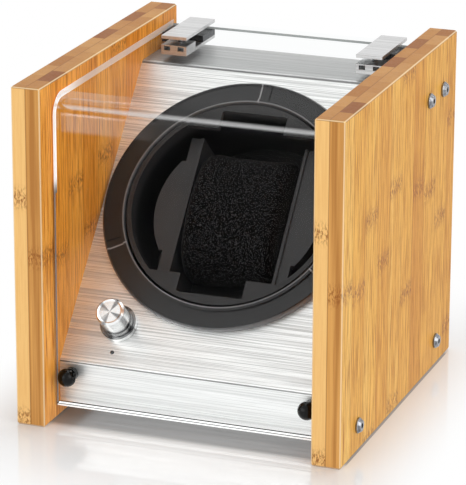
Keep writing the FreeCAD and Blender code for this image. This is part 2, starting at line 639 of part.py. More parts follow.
def jack_nut():
    """A hexagon nut that holds the inlet from inside."""
    hexagon = doc.addObject("Part::Prism", "Hexagon")
    bind(hexagon, Circumradius="nut_radius", Height="nut_thick")
    nut = cut(hexagon, rod("jack_radius + thread_gap", "-skin", "nut_thick + skin"))
    return place(nut, "-jack_offset", f"{BACK_IN} - nut_thick", "jack_height", X_AXIS, "-90")


for name, side in SIDES:
    node(bumper(side), f"{name}_bumper")
node(lamp(), "indicator_lamp")
node(power_jack(), "power_jack")
node(jack_nut(), "jack_nut")

# Bezel ring, cup and their screws


def bezel_ring():
    """A dished ring with a raised rim and lip, three seams, a spigot and three screw bosses behind."""
    flat = "(bezel_rise - bezel_dish)"
    body = turned([("bezel_bore", CUP_TOP), ("bezel_bore", "bezel_rise + bezel_dish"),
                   ("bezel_bore + bezel_lip", "bezel_rise + bezel_dish"), ("bezel_bore + bezel_lip", flat),
                   ("bezel_radius - bezel_rim", flat), ("bezel_radius - bezel_rim", "bezel_rise"),
                   ("bezel_radius - bezel_rim / 2", "bezel_rise"),
                   ("bezel_radius", "bezel_rise * bezel_edge_share"), ("bezel_radius", "0"),
                   ("bezel_bore + cup_wall", "0"), ("bezel_bore + cup_wall", CUP_TOP)])
    bosses = [rod("bezel_boss", CUP_TOP, "bezel_rise / 2", *boss_place(a)) for a in BEZEL_BOSS_ANGLES]
    threads = [rod("bezel_screw + thread_gap", "-skin * 2", "bezel_rise / 2", *boss_place(a))
               for a in BEZEL_BOSS_ANGLES]
    seams = []
    for i in range(SEAMS):
        seam = box(("bezel_bore + bezel_lip", "-seam_width / 2", f"{flat} - seam_width"),
                   ("bezel_radius - bezel_rim", "seam_width / 2", "bezel_rise"))
        turn = doc.addObject("Part::Compound", "Seam")
        turn.Links = [seam]
        seams.append(place(turn, axis=Z_AXIS, angle=f"seam_angle + {i} * 360 / {SEAMS}"))
    return on_slope(cut(fuse(body, *bosses), *threads, *seams))


def drum_cup():
    """The fixed cup that the drum turns in, with a flange under the slope."""
    body = turned([("bezel_bore", CUP_TOP), (CUP_FLANGE, CUP_TOP), (CUP_FLANGE, f"{CUP_TOP} - cup_wall"),
                   ("bezel_bore + cup_wall", f"{CUP_TOP} - cup_wall"), ("bezel_bore + cup_wall", CUP_BACK),
                   (BUSH_RADIUS, CUP_BACK), (BUSH_RADIUS, CUP_FLOOR), ("bezel_bore", CUP_FLOOR)])
    holes = [rod("bezel_screw + hole_gap", f"{CUP_TOP} - cup_wall * 2", "0", *boss_place(a))
             for a in BEZEL_BOSS_ANGLES]
    return on_slope(cut(body, *holes))


def bezel_screw(angle):
    seat = f"({CUP_TOP} - cup_wall)"
    x, y = boss_place(angle)
    return fuse(rod("bezel_screw", seat, "bezel_rise / 2 - thread_gap", x, y),
                rod("bezel_screw_head", f"{seat} - bezel_screw_rise", seat, x, y))


node(bezel_ring(), "bezel_ring")
node(drum_cup(), "drum_cup")
node(on_slope(group(*[bezel_screw(a) for a in BEZEL_BOSS_ANGLES])), "bezel_screws")

# Turntable: drum, cradle, shaft and cushion


def drum_shell():
    """A cup with a thin rim and two notched webs across its mouth, on a hub."""
    body = turned([(DRUM_INSIDE, "drum_rise"), (DRUM_RADIUS, "drum_rise"), (DRUM_RADIUS, DRUM_BACK),
                   ("hub_radius", DRUM_BACK), ("hub_radius", HUB_BACK), ("shaft_radius", HUB_BACK),
                   ("shaft_radius", DRUM_FLOOR), (DRUM_INSIDE, DRUM_FLOOR)])
    disc = rod(f"{DRUM_INSIDE} + drum_wall / 2", "drum_rise - web_thick", "drum_rise")
    keep = cut(disc, box((f"-{DRUM_RADIUS}", "-web_chord", "-web_thick"),
                         (DRUM_RADIUS, "web_chord", "drum_rise + web_thick")),
               box(("-notch_width / 2", f"-{NOTCH_END}", "-web_thick"),
                   ("notch_width / 2", NOTCH_END, "drum_rise + web_thick")))
    return on_slope(fuse(body, keep))


def shelf_outline(inset, low, high):
    """The cradle's plan: straight strips with a round bulge on each side."""
    half_wide = f"(cradle_width / 2 - {inset})"
    half_long = f"(cradle_length / 2 - {inset})"
    reach = f"(cradle_length * cradle_reach_share / 2 - {inset})"
    strips = box((f"-{half_wide}", f"-{half_long}", low), (half_wide, half_long, high))
    bulge = common(rod(f"cradle_arc - {inset}", low, high),
                   box(("-cradle_arc", f"-{reach}", low), ("cradle_arc", reach, high)))
    return fuse(strips, bulge)


def watch_cradle():
    """A moulded cradle: two hollow shelves beside the cushion's pocket, on a thin floor."""
    top = "(-cradle_top)"
    pocket = "(pocket_width / 2)"
    body = shelf_outline("0", DRUM_FLOOR, top)
    lips = box((f"-{pocket} - cradle_lip_width", "-cradle_length / 2", top),
               (f"{pocket} + cradle_lip_width", "cradle_length / 2", f"{top} + cradle_lip"))
    room = box((f"-{pocket}", "-cradle_length", POCKET_FLOOR), (pocket, "cradle_length", "drum_rise"))
    hollow = cut(shelf_outline("cradle_wall", f"{DRUM_FLOOR} - cradle_wall", f"{top} - cradle_wall"),
                 box((f"-{pocket} - cradle_wall", "-cradle_length", f"{DRUM_FLOOR} - cradle_wall * 2"),
                     (f"{pocket} + cradle_wall", "cradle_length", "drum_rise")))
    return on_slope(cut(fuse(body, lips), room, hollow))


def cushion_section(x, half_long, low, high):
    """One slice of the cushion: a flat seat, bulging ends and a crowned top."""
    foot = number("cushion_foot_share")
    bulge = number("cushion_bulge_share")
    shoulder = number("cushion_shoulder_share")
    rise = number("cushion_shoulder_rise")

    def at(along, share):
        return FreeCAD.Vector(x, along * half_long, low + share * (high - low))
    seat = Part.LineSegment(at(-foot, 0), at(foot, 0)).toShape()
    end = Part.Arc(at(foot, 0), at(1, bulge), at(shoulder, rise)).toShape()
    crown = Part.Arc(at(shoulder, rise), at(0, 1), at(-shoulder, rise)).toShape()
    start = Part.Arc(at(-shoulder, rise), at(-1, bulge), at(-foot, 0)).toShape()
    return Part.Wire([seat, end, crown, start])


# Slices of half the cushion: share of the way from its side to the drawn-in band, and depth in tucks
CUSHION_SLICES = [(0, 4), (0.06, 2.4), (0.2, 1), (0.45, 0), (0.7, 0.1), (1, 1)]


def watch_cushion():
    """A plush roll with rounded sides, drawn in round its middle where the strap goes."""
    half_wide = number("pocket_width / 2 - cushion_gap")
    half_band = number("pocket_width * cushion_strap_share / 2")
    half_long = number("cushion_length / 2")
    low = number(f"{POCKET_FLOOR} + cushion_seat")
    high = number("cushion_crown")
    tuck = number("cushion_tuck")
    side = half_wide - half_band
    slices = [(half_wide - share * side, tucks * tuck) for share, tucks in CUSHION_SLICES]
    slices = [(-x, drawn) for x, drawn in slices] + [(x, drawn) for x, drawn in reversed(slices)]
    wires = [cushion_section(x, half_long - drawn, low, high - drawn) for x, drawn in slices]
    cushion = doc.addObject("Part::Feature", "Cushion")
    cushion.Shape = Part.makeLoft(wires, True, True)
    return on_slope(cushion)


def drum_shaft():
    end = f"{PLATE_BACK} - bush_flange_thick - shaft_radius"
    return on_slope(group(rod("shaft_radius", end, DRUM_FLOOR)))


def shaft_clip():
    """A spring clip on the shaft's end, just clear of the rear bush."""
    front = f"({PLATE_BACK} - bush_flange_thick - clip_gap)"
    return on_slope(ring("bush_flange - bush_wall", "shaft_radius", f"{front} - washer_thick", front))


node(drum_shell(), "drum_shell")
node(watch_cradle(), "watch_cradle")
node(watch_cushion(), "watch_cushion")
node(drum_shaft(), "drum_shaft")
node(on_slope(ring("hub_radius", "shaft_radius", f"{HUB_BACK} - washer_thick", HUB_BACK)), "thrust_washer")
node(shaft_clip(), "shaft_clip")

# Bushes, gears, gear plate and motor


def shaft_bush(front):
    """A flanged bronze bush whose flange lies behind the sheet that it is pressed into."""
    bore = "(shaft_radius + run_gap)"
    back = f"({front} - cup_wall)"
    return on_slope(turned([(bore, front), (BUSH_RADIUS, front), (BUSH_RADIUS, back), ("bush_flange", back),
                            ("bush_flange", f"{back} - bush_flange_thick"),
                            (bore, f"{back} - bush_flange_thick")]))


def tooth_angle(radius, base, half_base):
    """Half of a tooth's angle at a radius on its involute flank."""
    if radius <= base:
        return half_base
    pressure = math.acos(base / radius)
    return half_base - (math.tan(pressure) - pressure)


def gear_outline(teeth, turn):
    """A closed outline of straight-cut involute teeth, with flanks through four radii."""
    module = number("gear_module")
    pitch = module * teeth / 2
    pressure = math.radians(number("pressure_angle"))
    base = pitch * math.cos(pressure)
    half_pitch = math.pi / (2 * teeth) - number("backlash") / (4 * pitch)
    half_base = half_pitch + math.tan(pressure) - pressure
    radii = [pitch - number("tooth_root") * module, max(base, pitch - number("tooth_flank") * module), pitch,
             pitch + number("tooth_tip") * module]
    flank = [(r, tooth_angle(r, base, half_base)) for r in radii]
    points = []
    for i in range(teeth):
        middle = turn + 2 * math.pi * i / teeth
        for r, half in flank:
            points.append(FreeCAD.Vector(r * math.cos(middle - half), r * math.sin(middle - half), 0))
        for r, half in reversed(flank):
            points.append(FreeCAD.Vector(r * math.cos(middle + half), r * math.sin(middle + half), 0))
    return Part.Face(Part.makePolygon(points + points[:1]))


def gear_blank(teeth, turn):
    """The toothed rim as a solid, with its front face at the gears' front."""
    blank = doc.addObject("Part::Feature", "Teeth")
    width = number("gear_width")
    blank.Shape = gear_outline(teeth, turn).extrude(FreeCAD.Vector(0, 0, width))
    return place(blank, z=GEAR_BACK)


def drum_gear():
    rim = gear_blank(int(number("gear_teeth")), 0)
    hub = rod("gear_hub", f"{GEAR_BACK} - gear_hub_length", GEAR_BACK)
    return on_slope(cut(fuse(rim, hub), rod("shaft_radius", PLATE_BACK, CUP_FLOOR)))


def motor_pinion():
    """The pinion, turned so that a gap faces the drum gear's tooth."""
    teeth = int(number("pinion_teeth"))
    rim = gear_blank(teeth, math.pi + math.pi / teeth)
    return on_slope(cut(rim, rod("motor_shaft", PLATE_BACK, CUP_FLOOR)), GEAR_SPAN)


POSTS = [(x, y) for x in ("-plate_reach + post_inset", f"{GEAR_SPAN} + plate_reach_motor - post_inset")
         for y in ("-plate_half + post_inset", "plate_half - post_inset")]
MOTOR_SCREWS = [(GEAR_SPAN, f"{sign}motor_screw_circle") for sign in ("-", "")]


def gear_plate():
    """A flat plate behind the gears that carries the motor and the shaft's rear bush."""
    plate = box(("-plate_reach", "-plate_half", PLATE_BACK),
                (f"{GEAR_SPAN} + plate_reach_motor", "plate_half", PLATE_FRONT))
    span = (f"{PLATE_BACK} - plate_thick", f"{PLATE_FRONT} + plate_thick")
    holes = [rod(BUSH_RADIUS, *span), rod("motor_boss", *span, GEAR_SPAN)]
    holes += [rod("small_shank + hole_gap", *span, x, y) for x, y in POSTS + MOTOR_SCREWS]
    return on_slope(cut(plate, *holes))


def plate_post(x, y):
    post = rod("post_radius", PLATE_FRONT, CUP_BACK, x, y)
    return cut(post, rod("small_shank + thread_gap", PLATE_BACK, f"{PLATE_FRONT} + small_grip", x, y))


def plate_screw(x, y):
    """A small screw from behind the gear plate into a post."""
    return fuse(rod("small_shank", PLATE_BACK, f"{PLATE_FRONT} + small_grip - thread_gap", x, y),
                rod("small_head", f"{PLATE_BACK} - small_head_rise", PLATE_BACK, x, y))


def gear_motor():
    """A round gearbox with its motor can behind and a boss in the gear plate."""
    boss = rod("motor_boss", PLATE_BACK, PLATE_FRONT)
    gearbox = rod("motor_radius", f"{PLATE_BACK} - motor_length", PLATE_BACK)
    can = rod("can_radius", f"{PLATE_BACK} - motor_length - can_length", f"{PLATE_BACK} - motor_length")
    bore = rod("motor_shaft + run_gap", f"{PLATE_FRONT} - motor_bore - run_gap", f"{PLATE_FRONT} + skin")
    threads = [rod("small_shank + thread_gap", f"{PLATE_BACK} - small_grip", PLATE_BACK, "0",
                   f"{sign}motor_screw_circle") for sign in ("-", "")]
    return on_slope(cut(fuse(boss, gearbox, can), bore, *threads), GEAR_SPAN)


def motor_shaft():
    return on_slope(group(rod("motor_shaft", f"{PLATE_FRONT} - motor_bore", GEAR_FRONT)), GEAR_SPAN)


def motor_screw(x, y):
    return headed_screw("small_shank", "small_head", "small_head_rise",
                        "plate_thick + small_grip - thread_gap", x, y, PLATE_FRONT)


node(shaft_bush(CUP_FLOOR), "front_bush")
node(shaft_bush(PLATE_FRONT), "rear_bush")
node(drum_gear(), "drum_gear")
node(motor_pinion(), "motor_pinion")
node(motor_shaft(), "motor_shaft")
node(gear_plate(), "gear_plate")
node(on_slope(group(*[plate_post(x, y) for x, y in POSTS])), "plate_posts")
node(on_slope(group(*[plate_screw(x, y) for x, y in POSTS])), "plate_screws")
node(gear_motor(), "gear_motor")
node(on_slope(group(*[motor_screw(x, y) for x, y in MOTOR_SCREWS])), "motor_screws")

# Selector knob and rotary switch


def at_knob(thing):
    return on_slope(thing, "-knob_offset", "knob_station")


def selector_knob():
    """A stepped, dished knob with a blind bore for the spindle."""
    foot = "(ring_rise + knob_float)"
    bore = "(spindle_radius + thread_gap)"
    return at_knob(turned([
        (bore, foot), ("knob_skirt", foot), ("knob_skirt", f"{foot} + knob_skirt_rise"),
        ("knob_radius", f"{foot} + knob_skirt_rise"), ("knob_radius", "knob_rise - knob_bevel"),
        ("knob_radius - knob_bevel", "knob_rise"), ("knob_radius - knob_bevel * 2", "knob_rise - knob_dish"),
        ("0", "knob_rise - knob_dish"), ("0", "spindle_rise + thread_gap"),
        (bore, "spindle_rise + thread_gap")]))


def rotary_switch():
    """The switch's square body behind the slope and its threaded bush through it."""
    back = "(-skin - switch_depth)"
    half = "(switch_width / 2)"
    body = box((f"-{half}", f"-{half}", back), (half, half, "-skin"))
    neck = rod("switch_bush", "-skin * 2", "ring_rise")
    bore = rod("spindle_radius + run_gap", f"{back} + switch_depth / 2", "ring_rise + skin")
    return at_knob(cut(fuse(body, neck), bore))


def switch_spindle():
    return at_knob(group(rod("spindle_radius", "-skin - switch_depth / 2 + run_gap", "spindle_rise")))


node(selector_knob(), "selector_knob")
node(switch_spindle(), "switch_spindle")
node(rotary_switch(), "rotary_switch")
node(at_knob(ring("ring_radius", "switch_bush + thread_gap", "0", "ring_rise")), "switch_nut")

# Clear cover and its hinge clamps

CLAMP_SCREWS_Y = (f"{CLAMP_REAR} - clamp_screw_inset", f"{CLAMP_FRONT} + clamp_screw_inset")


def clamp_x(side, inset):
    """A place across the box, measured in from a panel's inner face."""
    return f"({INSIDE} - ({inset}))" if side == RIGHT else f"(-{INSIDE} + ({inset}))"


def clamp_span(side, near, far):
    """Two places across the box in rising order."""
    first, last = clamp_x(side, near), clamp_x(side, far)
    return (last, first) if side == RIGHT else (first, last)


CLAMP_MIDDLE = "clamp_inset + clamp_width / 2"


def clamp_holes(gap, low, high):
    return [rod(f"small_shank + {gap}", low, high, clamp_x(side, CLAMP_MIDDLE), y)
            for name, side in SIDES for y in CLAMP_SCREWS_Y]


def clear_cover():
    """One clear sheet bent over the front and top, drilled for the clamps and the studs."""
    width = "(inner_width - cover_side * 2)"
    rear = f"({REAR} - cover_rear)"
    outline = [(COVER_FACE, "cover_foot"), (COVER_FACE, COVER_TOP), (rear, COVER_TOP), (rear, COVER_UNDER),
               (COVER_IN, COVER_UNDER), (COVER_IN, "cover_foot")]
    sheet_body = bent_sheet(outline, f"-{width} / 2", width,
                            [(COVER_FACE, COVER_TOP, "cover_bend"),
                             (COVER_IN, COVER_UNDER, "cover_bend - cover_thick")])
    holes = clamp_holes("hole_gap", f"{COVER_UNDER} - skin", f"{COVER_TOP} + skin")
    holes += [rod_y("bumper_stem + thread_gap", f"{COVER_FACE} - skin", f"{COVER_IN} + skin", bumper_x(side),
                    "bumper_height") for name, side in SIDES]
    return cut(sheet_body, *holes)


def clamp_plate(side, low, gap, hole_top):
    """A flat clamp plate with two screw holes from below."""
    x0, x1 = clamp_span(side, "clamp_inset", "clamp_inset + clamp_width")
    plate = box((x0, CLAMP_FRONT, low), (x1, CLAMP_REAR, f"{low} + clamp_thick"))
    holes = [rod(f"small_shank + {gap}", f"{low} - skin", hole_top, clamp_x(side, CLAMP_MIDDLE), y)
             for y in CLAMP_SCREWS_Y]
    return cut(plate, *holes)


def hinge_lug(side):
    """A block beside the clamp that holds the pin, with a tongue clamped under the cover."""
    x0, x1 = clamp_span(side, "lug_side", "clamp_inset")
    t0, t1 = clamp_span(side, "lug_side", "clamp_inset + clamp_width")
    lug_front = f"({CLAMP_REAR} - lug_length)"
    block = fuse(box((x0, lug_front, CLAMP_LOW), (x1, CLAMP_REAR, COVER_UNDER)),
                 box((t0, lug_front, CLAMP_LOW_TOP), (t1, CLAMP_REAR, COVER_UNDER)))
    p0, p1 = clamp_span(side, "lug_side", "lug_side + pin_grip")
    passage = rod("small_shank + hole_gap", CLAMP_LOW, f"{COVER_UNDER} + skin",
                  clamp_x(side, CLAMP_MIDDLE), CLAMP_SCREWS_Y[0])
    return cut(block, rod_x("pin_radius", p0, p1, PIN_Y, PIN_Z), passage)


def hinge_spacer(side):
    """A block between the cover and the lower clamp plate, with two windows through it."""
    x0, x1 = clamp_span(side, "clamp_inset", "clamp_inset + clamp_width")
    rear = f"({CLAMP_FRONT} + spacer_length)"
    middle = clamp_x(side, CLAMP_MIDDLE)
    tools = [rod("small_shank + hole_gap", CLAMP_LOW, COVER_TOP, middle, CLAMP_SCREWS_Y[1])]
    for near in ("clamp_inset + spacer_post", "clamp_inset + clamp_width - spacer_post - spacer_window"):
        w0, w1 = clamp_span(side, near, f"{near} + spacer_window")
        tools.append(box((w0, f"{CLAMP_FRONT} - skin", f"{CLAMP_LOW_TOP} + spacer_rib"),
                         (w1, f"{rear} + skin", f"{COVER_UNDER} - spacer_rib")))
    return cut(box((x0, CLAMP_FRONT, CLAMP_LOW_TOP), (x1, rear, COVER_UNDER)), *tools)


def hinge_screw(side, y):
    """A screw from under the lower clamp plate into a blind thread in the upper one."""
    x = clamp_x(side, CLAMP_MIDDLE)
    return fuse(rod("small_shank", CLAMP_LOW, f"{COVER_TOP} + clamp_bite", x, y),
                rod("clamp_screw_head", f"{CLAMP_LOW} - clamp_screw_rise", CLAMP_LOW, x, y))


def hinge_pin(side):
    x0, x1 = clamp_span(side, "-pin_reach", "lug_side + pin_grip")
    return rod_x("pin_radius", x0, x1, PIN_Y, PIN_Z)


def pivot_bush(side):
    """A bush with a closed end, pressed into the panel."""
    x0, x1 = clamp_span(side, "-pin_reach - pin_radius", "0")
    b0, b1 = clamp_span(side, "-pin_reach - run_gap", "skin")
    return cut(rod_x("pin_bush", x0, x1, PIN_Y, PIN_Z), rod_x("pin_radius + run_gap", b0, b1, PIN_Y, PIN_Z))


node(clear_cover(), "clear_cover")
for name, side in SIDES:
    blind = f"{COVER_TOP} + clamp_bite + thread_gap"
    node(clamp_plate(side, COVER_TOP, "thread_gap", blind), f"{name}_hinge_top_plate")
    node(clamp_plate(side, CLAMP_LOW, "hole_gap", f"{CLAMP_LOW_TOP} + skin"), f"{name}_hinge_bottom_plate")
    node(hinge_lug(side), f"{name}_hinge_lug")
    node(hinge_pin(side), f"{name}_hinge_pin")
    node(pivot_bush(side), f"{name}_pivot_bush")
node(group(*[hinge_spacer(side) for name, side in SIDES]), "hinge_spacers")
node(group(*[hinge_screw(side, y) for name, side in SIDES for y in CLAMP_SCREWS_Y]), "hinge_screws")

# Control board

BOARD_LEFT = f"(-{INSIDE} + board_side)"
BOARD_FRONT = f"({BOARD_REAR} - board_depth)"
BOARD_SCREWS = [(x, y) for x in (f"{BOARD_LEFT} + board_hole_inset",
                                 f"{BOARD_LEFT} + board_width - board_hole_inset")
                for y in (f"{BOARD_FRONT} + board_hole_inset", f"{BOARD_REAR} - board_hole_inset")]


def control_board():
    """A circuit board with a chip and a wire socket."""
    board = box((BOARD_LEFT, BOARD_FRONT, BOARD_LOW), (f"{BOARD_LEFT} + board_width", BOARD_REAR, BOARD_TOP))
    chip_x = f"({BOARD_LEFT} + board_width / 2 - chip_size / 2)"
    chip_y = f"({BOARD_FRONT} + board_depth / 2 - chip_size / 2)"
    chip = box((chip_x, chip_y, BOARD_TOP), (f"{chip_x} + chip_size", f"{chip_y} + chip_size",
                                             f"{BOARD_TOP} + chip_rise"))
    plug_x = f"({BOARD_LEFT} + board_width / 2 - plug_width / 2)"
    plug = box((plug_x, f"{BOARD_REAR} - plug_rise", BOARD_TOP),
               (f"{plug_x} + plug_width", BOARD_REAR, f"{BOARD_TOP} + plug_rise"))
    holes = [rod("small_shank + hole_gap", BASE_IN, f"{BOARD_TOP} + skin", x, y) for x, y in BOARD_SCREWS]
    return cut(fuse(board, chip, plug), *holes)


def standoff(x, y):
    return cut(rod("post_radius", BASE_IN, BOARD_LOW, x, y),
               rod("small_shank + thread_gap", f"{BOARD_LOW} - small_grip", f"{BOARD_LOW} + skin", x, y))


def board_screw(x, y):
    return headed_screw("small_shank", "small_head", "small_head_rise",
                        "board_thick + small_grip - thread_gap", x, y, BOARD_TOP)


node(control_board(), "control_board")
node(group(*[standoff(x, y) for x, y in BOARD_SCREWS]), "board_standoffs")
node(group(*[board_screw(x, y) for x, y in BOARD_SCREWS]), "board_screws")

# Check every object, then write each piece

doc.recompute()
failed = [thing.Label for thing in doc.Objects if "Invalid" in thing.State or "Error" in thing.State]
failed += [piece.Label for piece in nodes if piece.Shape.isNull() or not piece.Shape.isValid()]
if failed:
    raise RuntimeError("failed: " + ", ".join(failed))
os.makedirs("parts", exist_ok=True)
for piece in nodes:
    piece.Shape.exportStep(f"parts/{piece.Label}.step")
    size = piece.Shape.BoundBox
    print(f"{piece.Label}: {len(piece.Shape.Solids)} solid, {piece.Shape.Volume:.0f} mm3, "
          f"{size.XLength:.1f} x {size.YLength:.1f} x {size.ZLength:.1f} mm")
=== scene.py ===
import json
import math
import bpy
from mathutils import Matrix, Vector


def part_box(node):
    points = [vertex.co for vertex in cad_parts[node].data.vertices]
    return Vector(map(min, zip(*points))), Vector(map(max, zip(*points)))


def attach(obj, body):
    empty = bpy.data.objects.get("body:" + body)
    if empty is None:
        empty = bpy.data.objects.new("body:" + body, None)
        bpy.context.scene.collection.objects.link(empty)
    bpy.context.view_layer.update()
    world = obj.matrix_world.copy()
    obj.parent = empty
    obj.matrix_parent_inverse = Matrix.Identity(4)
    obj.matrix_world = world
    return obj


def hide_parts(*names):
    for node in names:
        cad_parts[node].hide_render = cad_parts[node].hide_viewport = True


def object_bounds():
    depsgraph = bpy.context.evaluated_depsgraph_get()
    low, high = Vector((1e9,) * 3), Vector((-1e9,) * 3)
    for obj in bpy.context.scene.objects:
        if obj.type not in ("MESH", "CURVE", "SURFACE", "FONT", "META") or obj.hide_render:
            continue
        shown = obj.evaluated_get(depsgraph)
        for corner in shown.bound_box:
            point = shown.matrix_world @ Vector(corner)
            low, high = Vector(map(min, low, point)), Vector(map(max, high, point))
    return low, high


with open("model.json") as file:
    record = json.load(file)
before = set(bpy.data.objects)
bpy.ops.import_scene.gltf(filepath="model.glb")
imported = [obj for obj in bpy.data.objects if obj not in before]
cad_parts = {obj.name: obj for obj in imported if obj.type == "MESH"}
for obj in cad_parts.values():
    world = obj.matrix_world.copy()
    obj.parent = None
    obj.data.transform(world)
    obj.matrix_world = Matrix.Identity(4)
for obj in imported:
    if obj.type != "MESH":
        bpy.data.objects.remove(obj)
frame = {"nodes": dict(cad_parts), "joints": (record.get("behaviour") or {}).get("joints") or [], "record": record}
cad_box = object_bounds()
nodes = frame["nodes"]

# Watch winder box: finishes for the solids, a stuffed plush cushion, floor, light and camera.
# Metres. +Z is up and the front faces -Y.

MM = 0.001
JOINTS = {joint["name"]: joint for joint in frame["joints"]}
TURNTABLE_CENTRE = Vector(JOINTS["turntable_spin"]["pos_m"])
KNOB_CENTRE = Vector(JOINTS["knob_turn"]["pos_m"])
AXIS_X = Vector((1, 0, 0))
SLOPE_OUT = Vector(JOINTS["turntable_spin"]["axis"]).normalized()
SLOPE_ANGLE = math.atan2(-SLOPE_OUT.y, SLOPE_OUT.z)
SLOPE_UP = Vector((0, math.cos(SLOPE_ANGLE), math.sin(SLOPE_ANGLE)))


# Node helpers

NOISE_SPAN = (0.3, 0.7)
SEEN_RAYS = ("Is Camera Ray", "Is Glossy Ray", "Is Transmission Ray")


class Tree:
    """Short names for building the node tree of a material or a world."""

    def __init__(self, owner):
        owner.use_nodes = True
        self.owner = owner
        self.nodes = owner.node_tree.nodes
        self.links = owner.node_tree.links

    def add(self, kind, **settings):
        made = self.nodes.new(kind)
        for name, value in settings.items():
            setattr(made, name, value)
        return made

    def feed(self, socket, value):
        """Link a socket to another, or set it to a plain value."""
        if hasattr(value, "is_output"):
            self.links.new(value, socket)
        else:
            socket.default_value = value

    # Numbers and masks

    def math(self, operation, first, second=0.0, third=0.0):
        made = self.add("ShaderNodeMath", operation=operation)
        for socket, value in zip(made.inputs, (first, second, third)):
            self.feed(socket, value)
        return made.outputs[0]

    def over(self, value, limit):
        return self.math("GREATER_THAN", value, limit)

    def under(self, value, limit):
        return self.math("LESS_THAN", value, limit)

    def inverse(self, mask):
        return self.math("SUBTRACT", 1.0, mask)

    def absolute(self, value):
        return self.math("ABSOLUTE", value)

    def gap(self, value, other):
        """How far apart two values are."""
        return self.absolute(self.math("SUBTRACT", value, other))

    def most(self, first, *others):
        """The largest of several values."""
        for other in others:
            first = self.math("MAXIMUM", first, other)
        return first

    def product(self, first, *others):
        for other in others:
            first = self.math("MULTIPLY", first, other)
        return first

    def blend(self, first, share, second, second_share):
        """Two values, each times its share, added."""
        return self.math("ADD", self.product(first, share), self.product(second, second_share))

    def range(self, value, low, high, to_low=0.0, to_high=1.0):
        """A value from low to high, eased to the range from to_low to to_high."""
        made = self.add("ShaderNodeMapRange", interpolation_type="SMOOTHSTEP")
        for socket, number in zip(made.inputs, (value, low, high, to_low, to_high)):
            self.feed(socket, number)
        return made.outputs["Result"]

    def spread(self, noise, to_low, to_high):
        """A noise value over the range from to_low to to_high."""
        return self.range(noise, *NOISE_SPAN, to_low, to_high)

    # Places

    def place(self):
        """Position on the object, in metres, which turns and moves with it."""
        return self.add("ShaderNodeTexCoord").outputs["Object"]

    def split(self, vector):
        made = self.add("ShaderNodeSeparateXYZ")
        self.feed(made.inputs[0], vector)
        return made.outputs

    def join(self, x, y, z):
        made = self.add("ShaderNodeCombineXYZ")
        for socket, value in zip(made.inputs, (x, y, z)):
            self.feed(socket, value)
        return made.outputs[0]

    def vector_math(self, operation, vector, constant):
        made = self.add("ShaderNodeVectorMath", operation=operation)
        self.feed(made.inputs[0], vector)
        made.inputs[1].default_value = constant
        return made.outputs["Value" if operation == "DOT_PRODUCT" else "Vector"]

    def offset(self, origin, along):
        """How far the position is from a point, along one direction."""
        from_origin = self.vector_math("SUBTRACT", self.place(), origin)
        return self.vector_math("DOT_PRODUCT", from_origin, along)

    def on_slope(self, origin):
        """Offsets from a point along X and up the slope, and the radius round it."""
        across, up = self.offset(origin, AXIS_X), self.offset(origin, SLOPE_UP)
        return across, up, self.math("SQRT", self.blend(across, across, up, up))

    # Patterns and colours

    def noise(self, vector, detail=3.0, roughness=0.6):
        made = self.add("ShaderNodeTexNoise")
        self.feed(made.inputs["Vector"], vector)
        made.inputs["Scale"].default_value = 1.0
        made.inputs["Detail"].default_value = detail
        made.inputs["Roughness"].default_value = roughness
        return made.outputs["Fac"]

    def grain(self, cells, **settings):
        """Noise with so many cells a metre along X, Y and Z."""
        return self.noise(self.vector_math("MULTIPLY", self.place(), cells), **settings)

    def random(self, x, y, z):
        made = self.add("ShaderNodeTexWhiteNoise", noise_dimensions="3D")
        self.feed(made.inputs["Vector"], self.join(x, y, z))
        return made.outputs["Value"]

    def mix(self, factor, first, second, blend="MIX"):
        made = self.add("ShaderNodeMix", data_type="RGBA", blend_type=blend)
        self.feed(made.inputs["Factor"], factor)
        self.feed(made.inputs["A"], first)
        self.feed(made.inputs["B"], second)
        return made.outputs["Result"]

    def ramp(self, value, *stops):
        """Colours along a value, as (position, colour) stops."""
        made = self.add("ShaderNodeValToRGB")
        self.feed(made.inputs[0], value)
        elements = made.color_ramp.elements
        while len(elements) < len(stops):
            elements.new(0.5)
        for element, (position, colour) in zip(elements, stops):
            element.position = position
            element.color = colour
        return made.outputs[0]

    def bump(self, height, distance, strength):
        made = self.add("ShaderNodeBump")
        made.inputs["Distance"].default_value = distance
        made.inputs["Strength"].default_value = strength
        self.feed(made.inputs["Height"], height)
        return made.outputs[0]

    # Shaders

    def set(self, **sockets):
        """Feed the main shader's sockets, and give back the material."""
        shader = self.nodes["Principled BSDF"]
        for name, value in sockets.items():
            self.feed(shader.inputs[name.replace("_", " ")], value)
        return self.owner

    def main_shader(self):
        return self.nodes["Principled BSDF"].outputs[0]

    def glossy(self, roughness):
        made = self.add("ShaderNodeBsdfGlossy")
        made.inputs["Roughness"].default_value = roughness
        return made.outputs[0]

    def mix_shaders(self, factor, first, second):
        made = self.add("ShaderNodeMixShader")
        for socket, value in zip(made.inputs, (factor, first, second)):
            self.feed(socket, value)
        return made.outputs[0]

    def show(self, shader):
        """Show a shader other than the main one, and give back the material."""
        self.links.new(shader, self.nodes["Material Output"].inputs["Surface"])
        return self.owner

    def rays(self):
        return self.add("ShaderNodeLightPath").outputs

    def seen(self, rays):
        """1 for the rays that see the background: from the camera, reflected or let through."""
        return self.most(*(rays[kind] for kind in SEEN_RAYS))


def material_tree(name):
    return Tree(bpy.data.materials.new(name))


def srgb(red, green, blue):
    """A screen colour of 0 to 255 a channel as the linear colour that shaders use."""
    def linear(channel):
        share = channel / 255
        return share / 12.92 if share <= 0.04045 else ((share + 0.055) / 1.055) ** 2.4
    return (linear(red), linear(green), linear(blue), 1.0)


def even(cells):
    """The same number of noise cells a metre along X, Y and Z."""
    return (cells, cells, cells)


# Bamboo. A range holds the limits of a value and what they become.

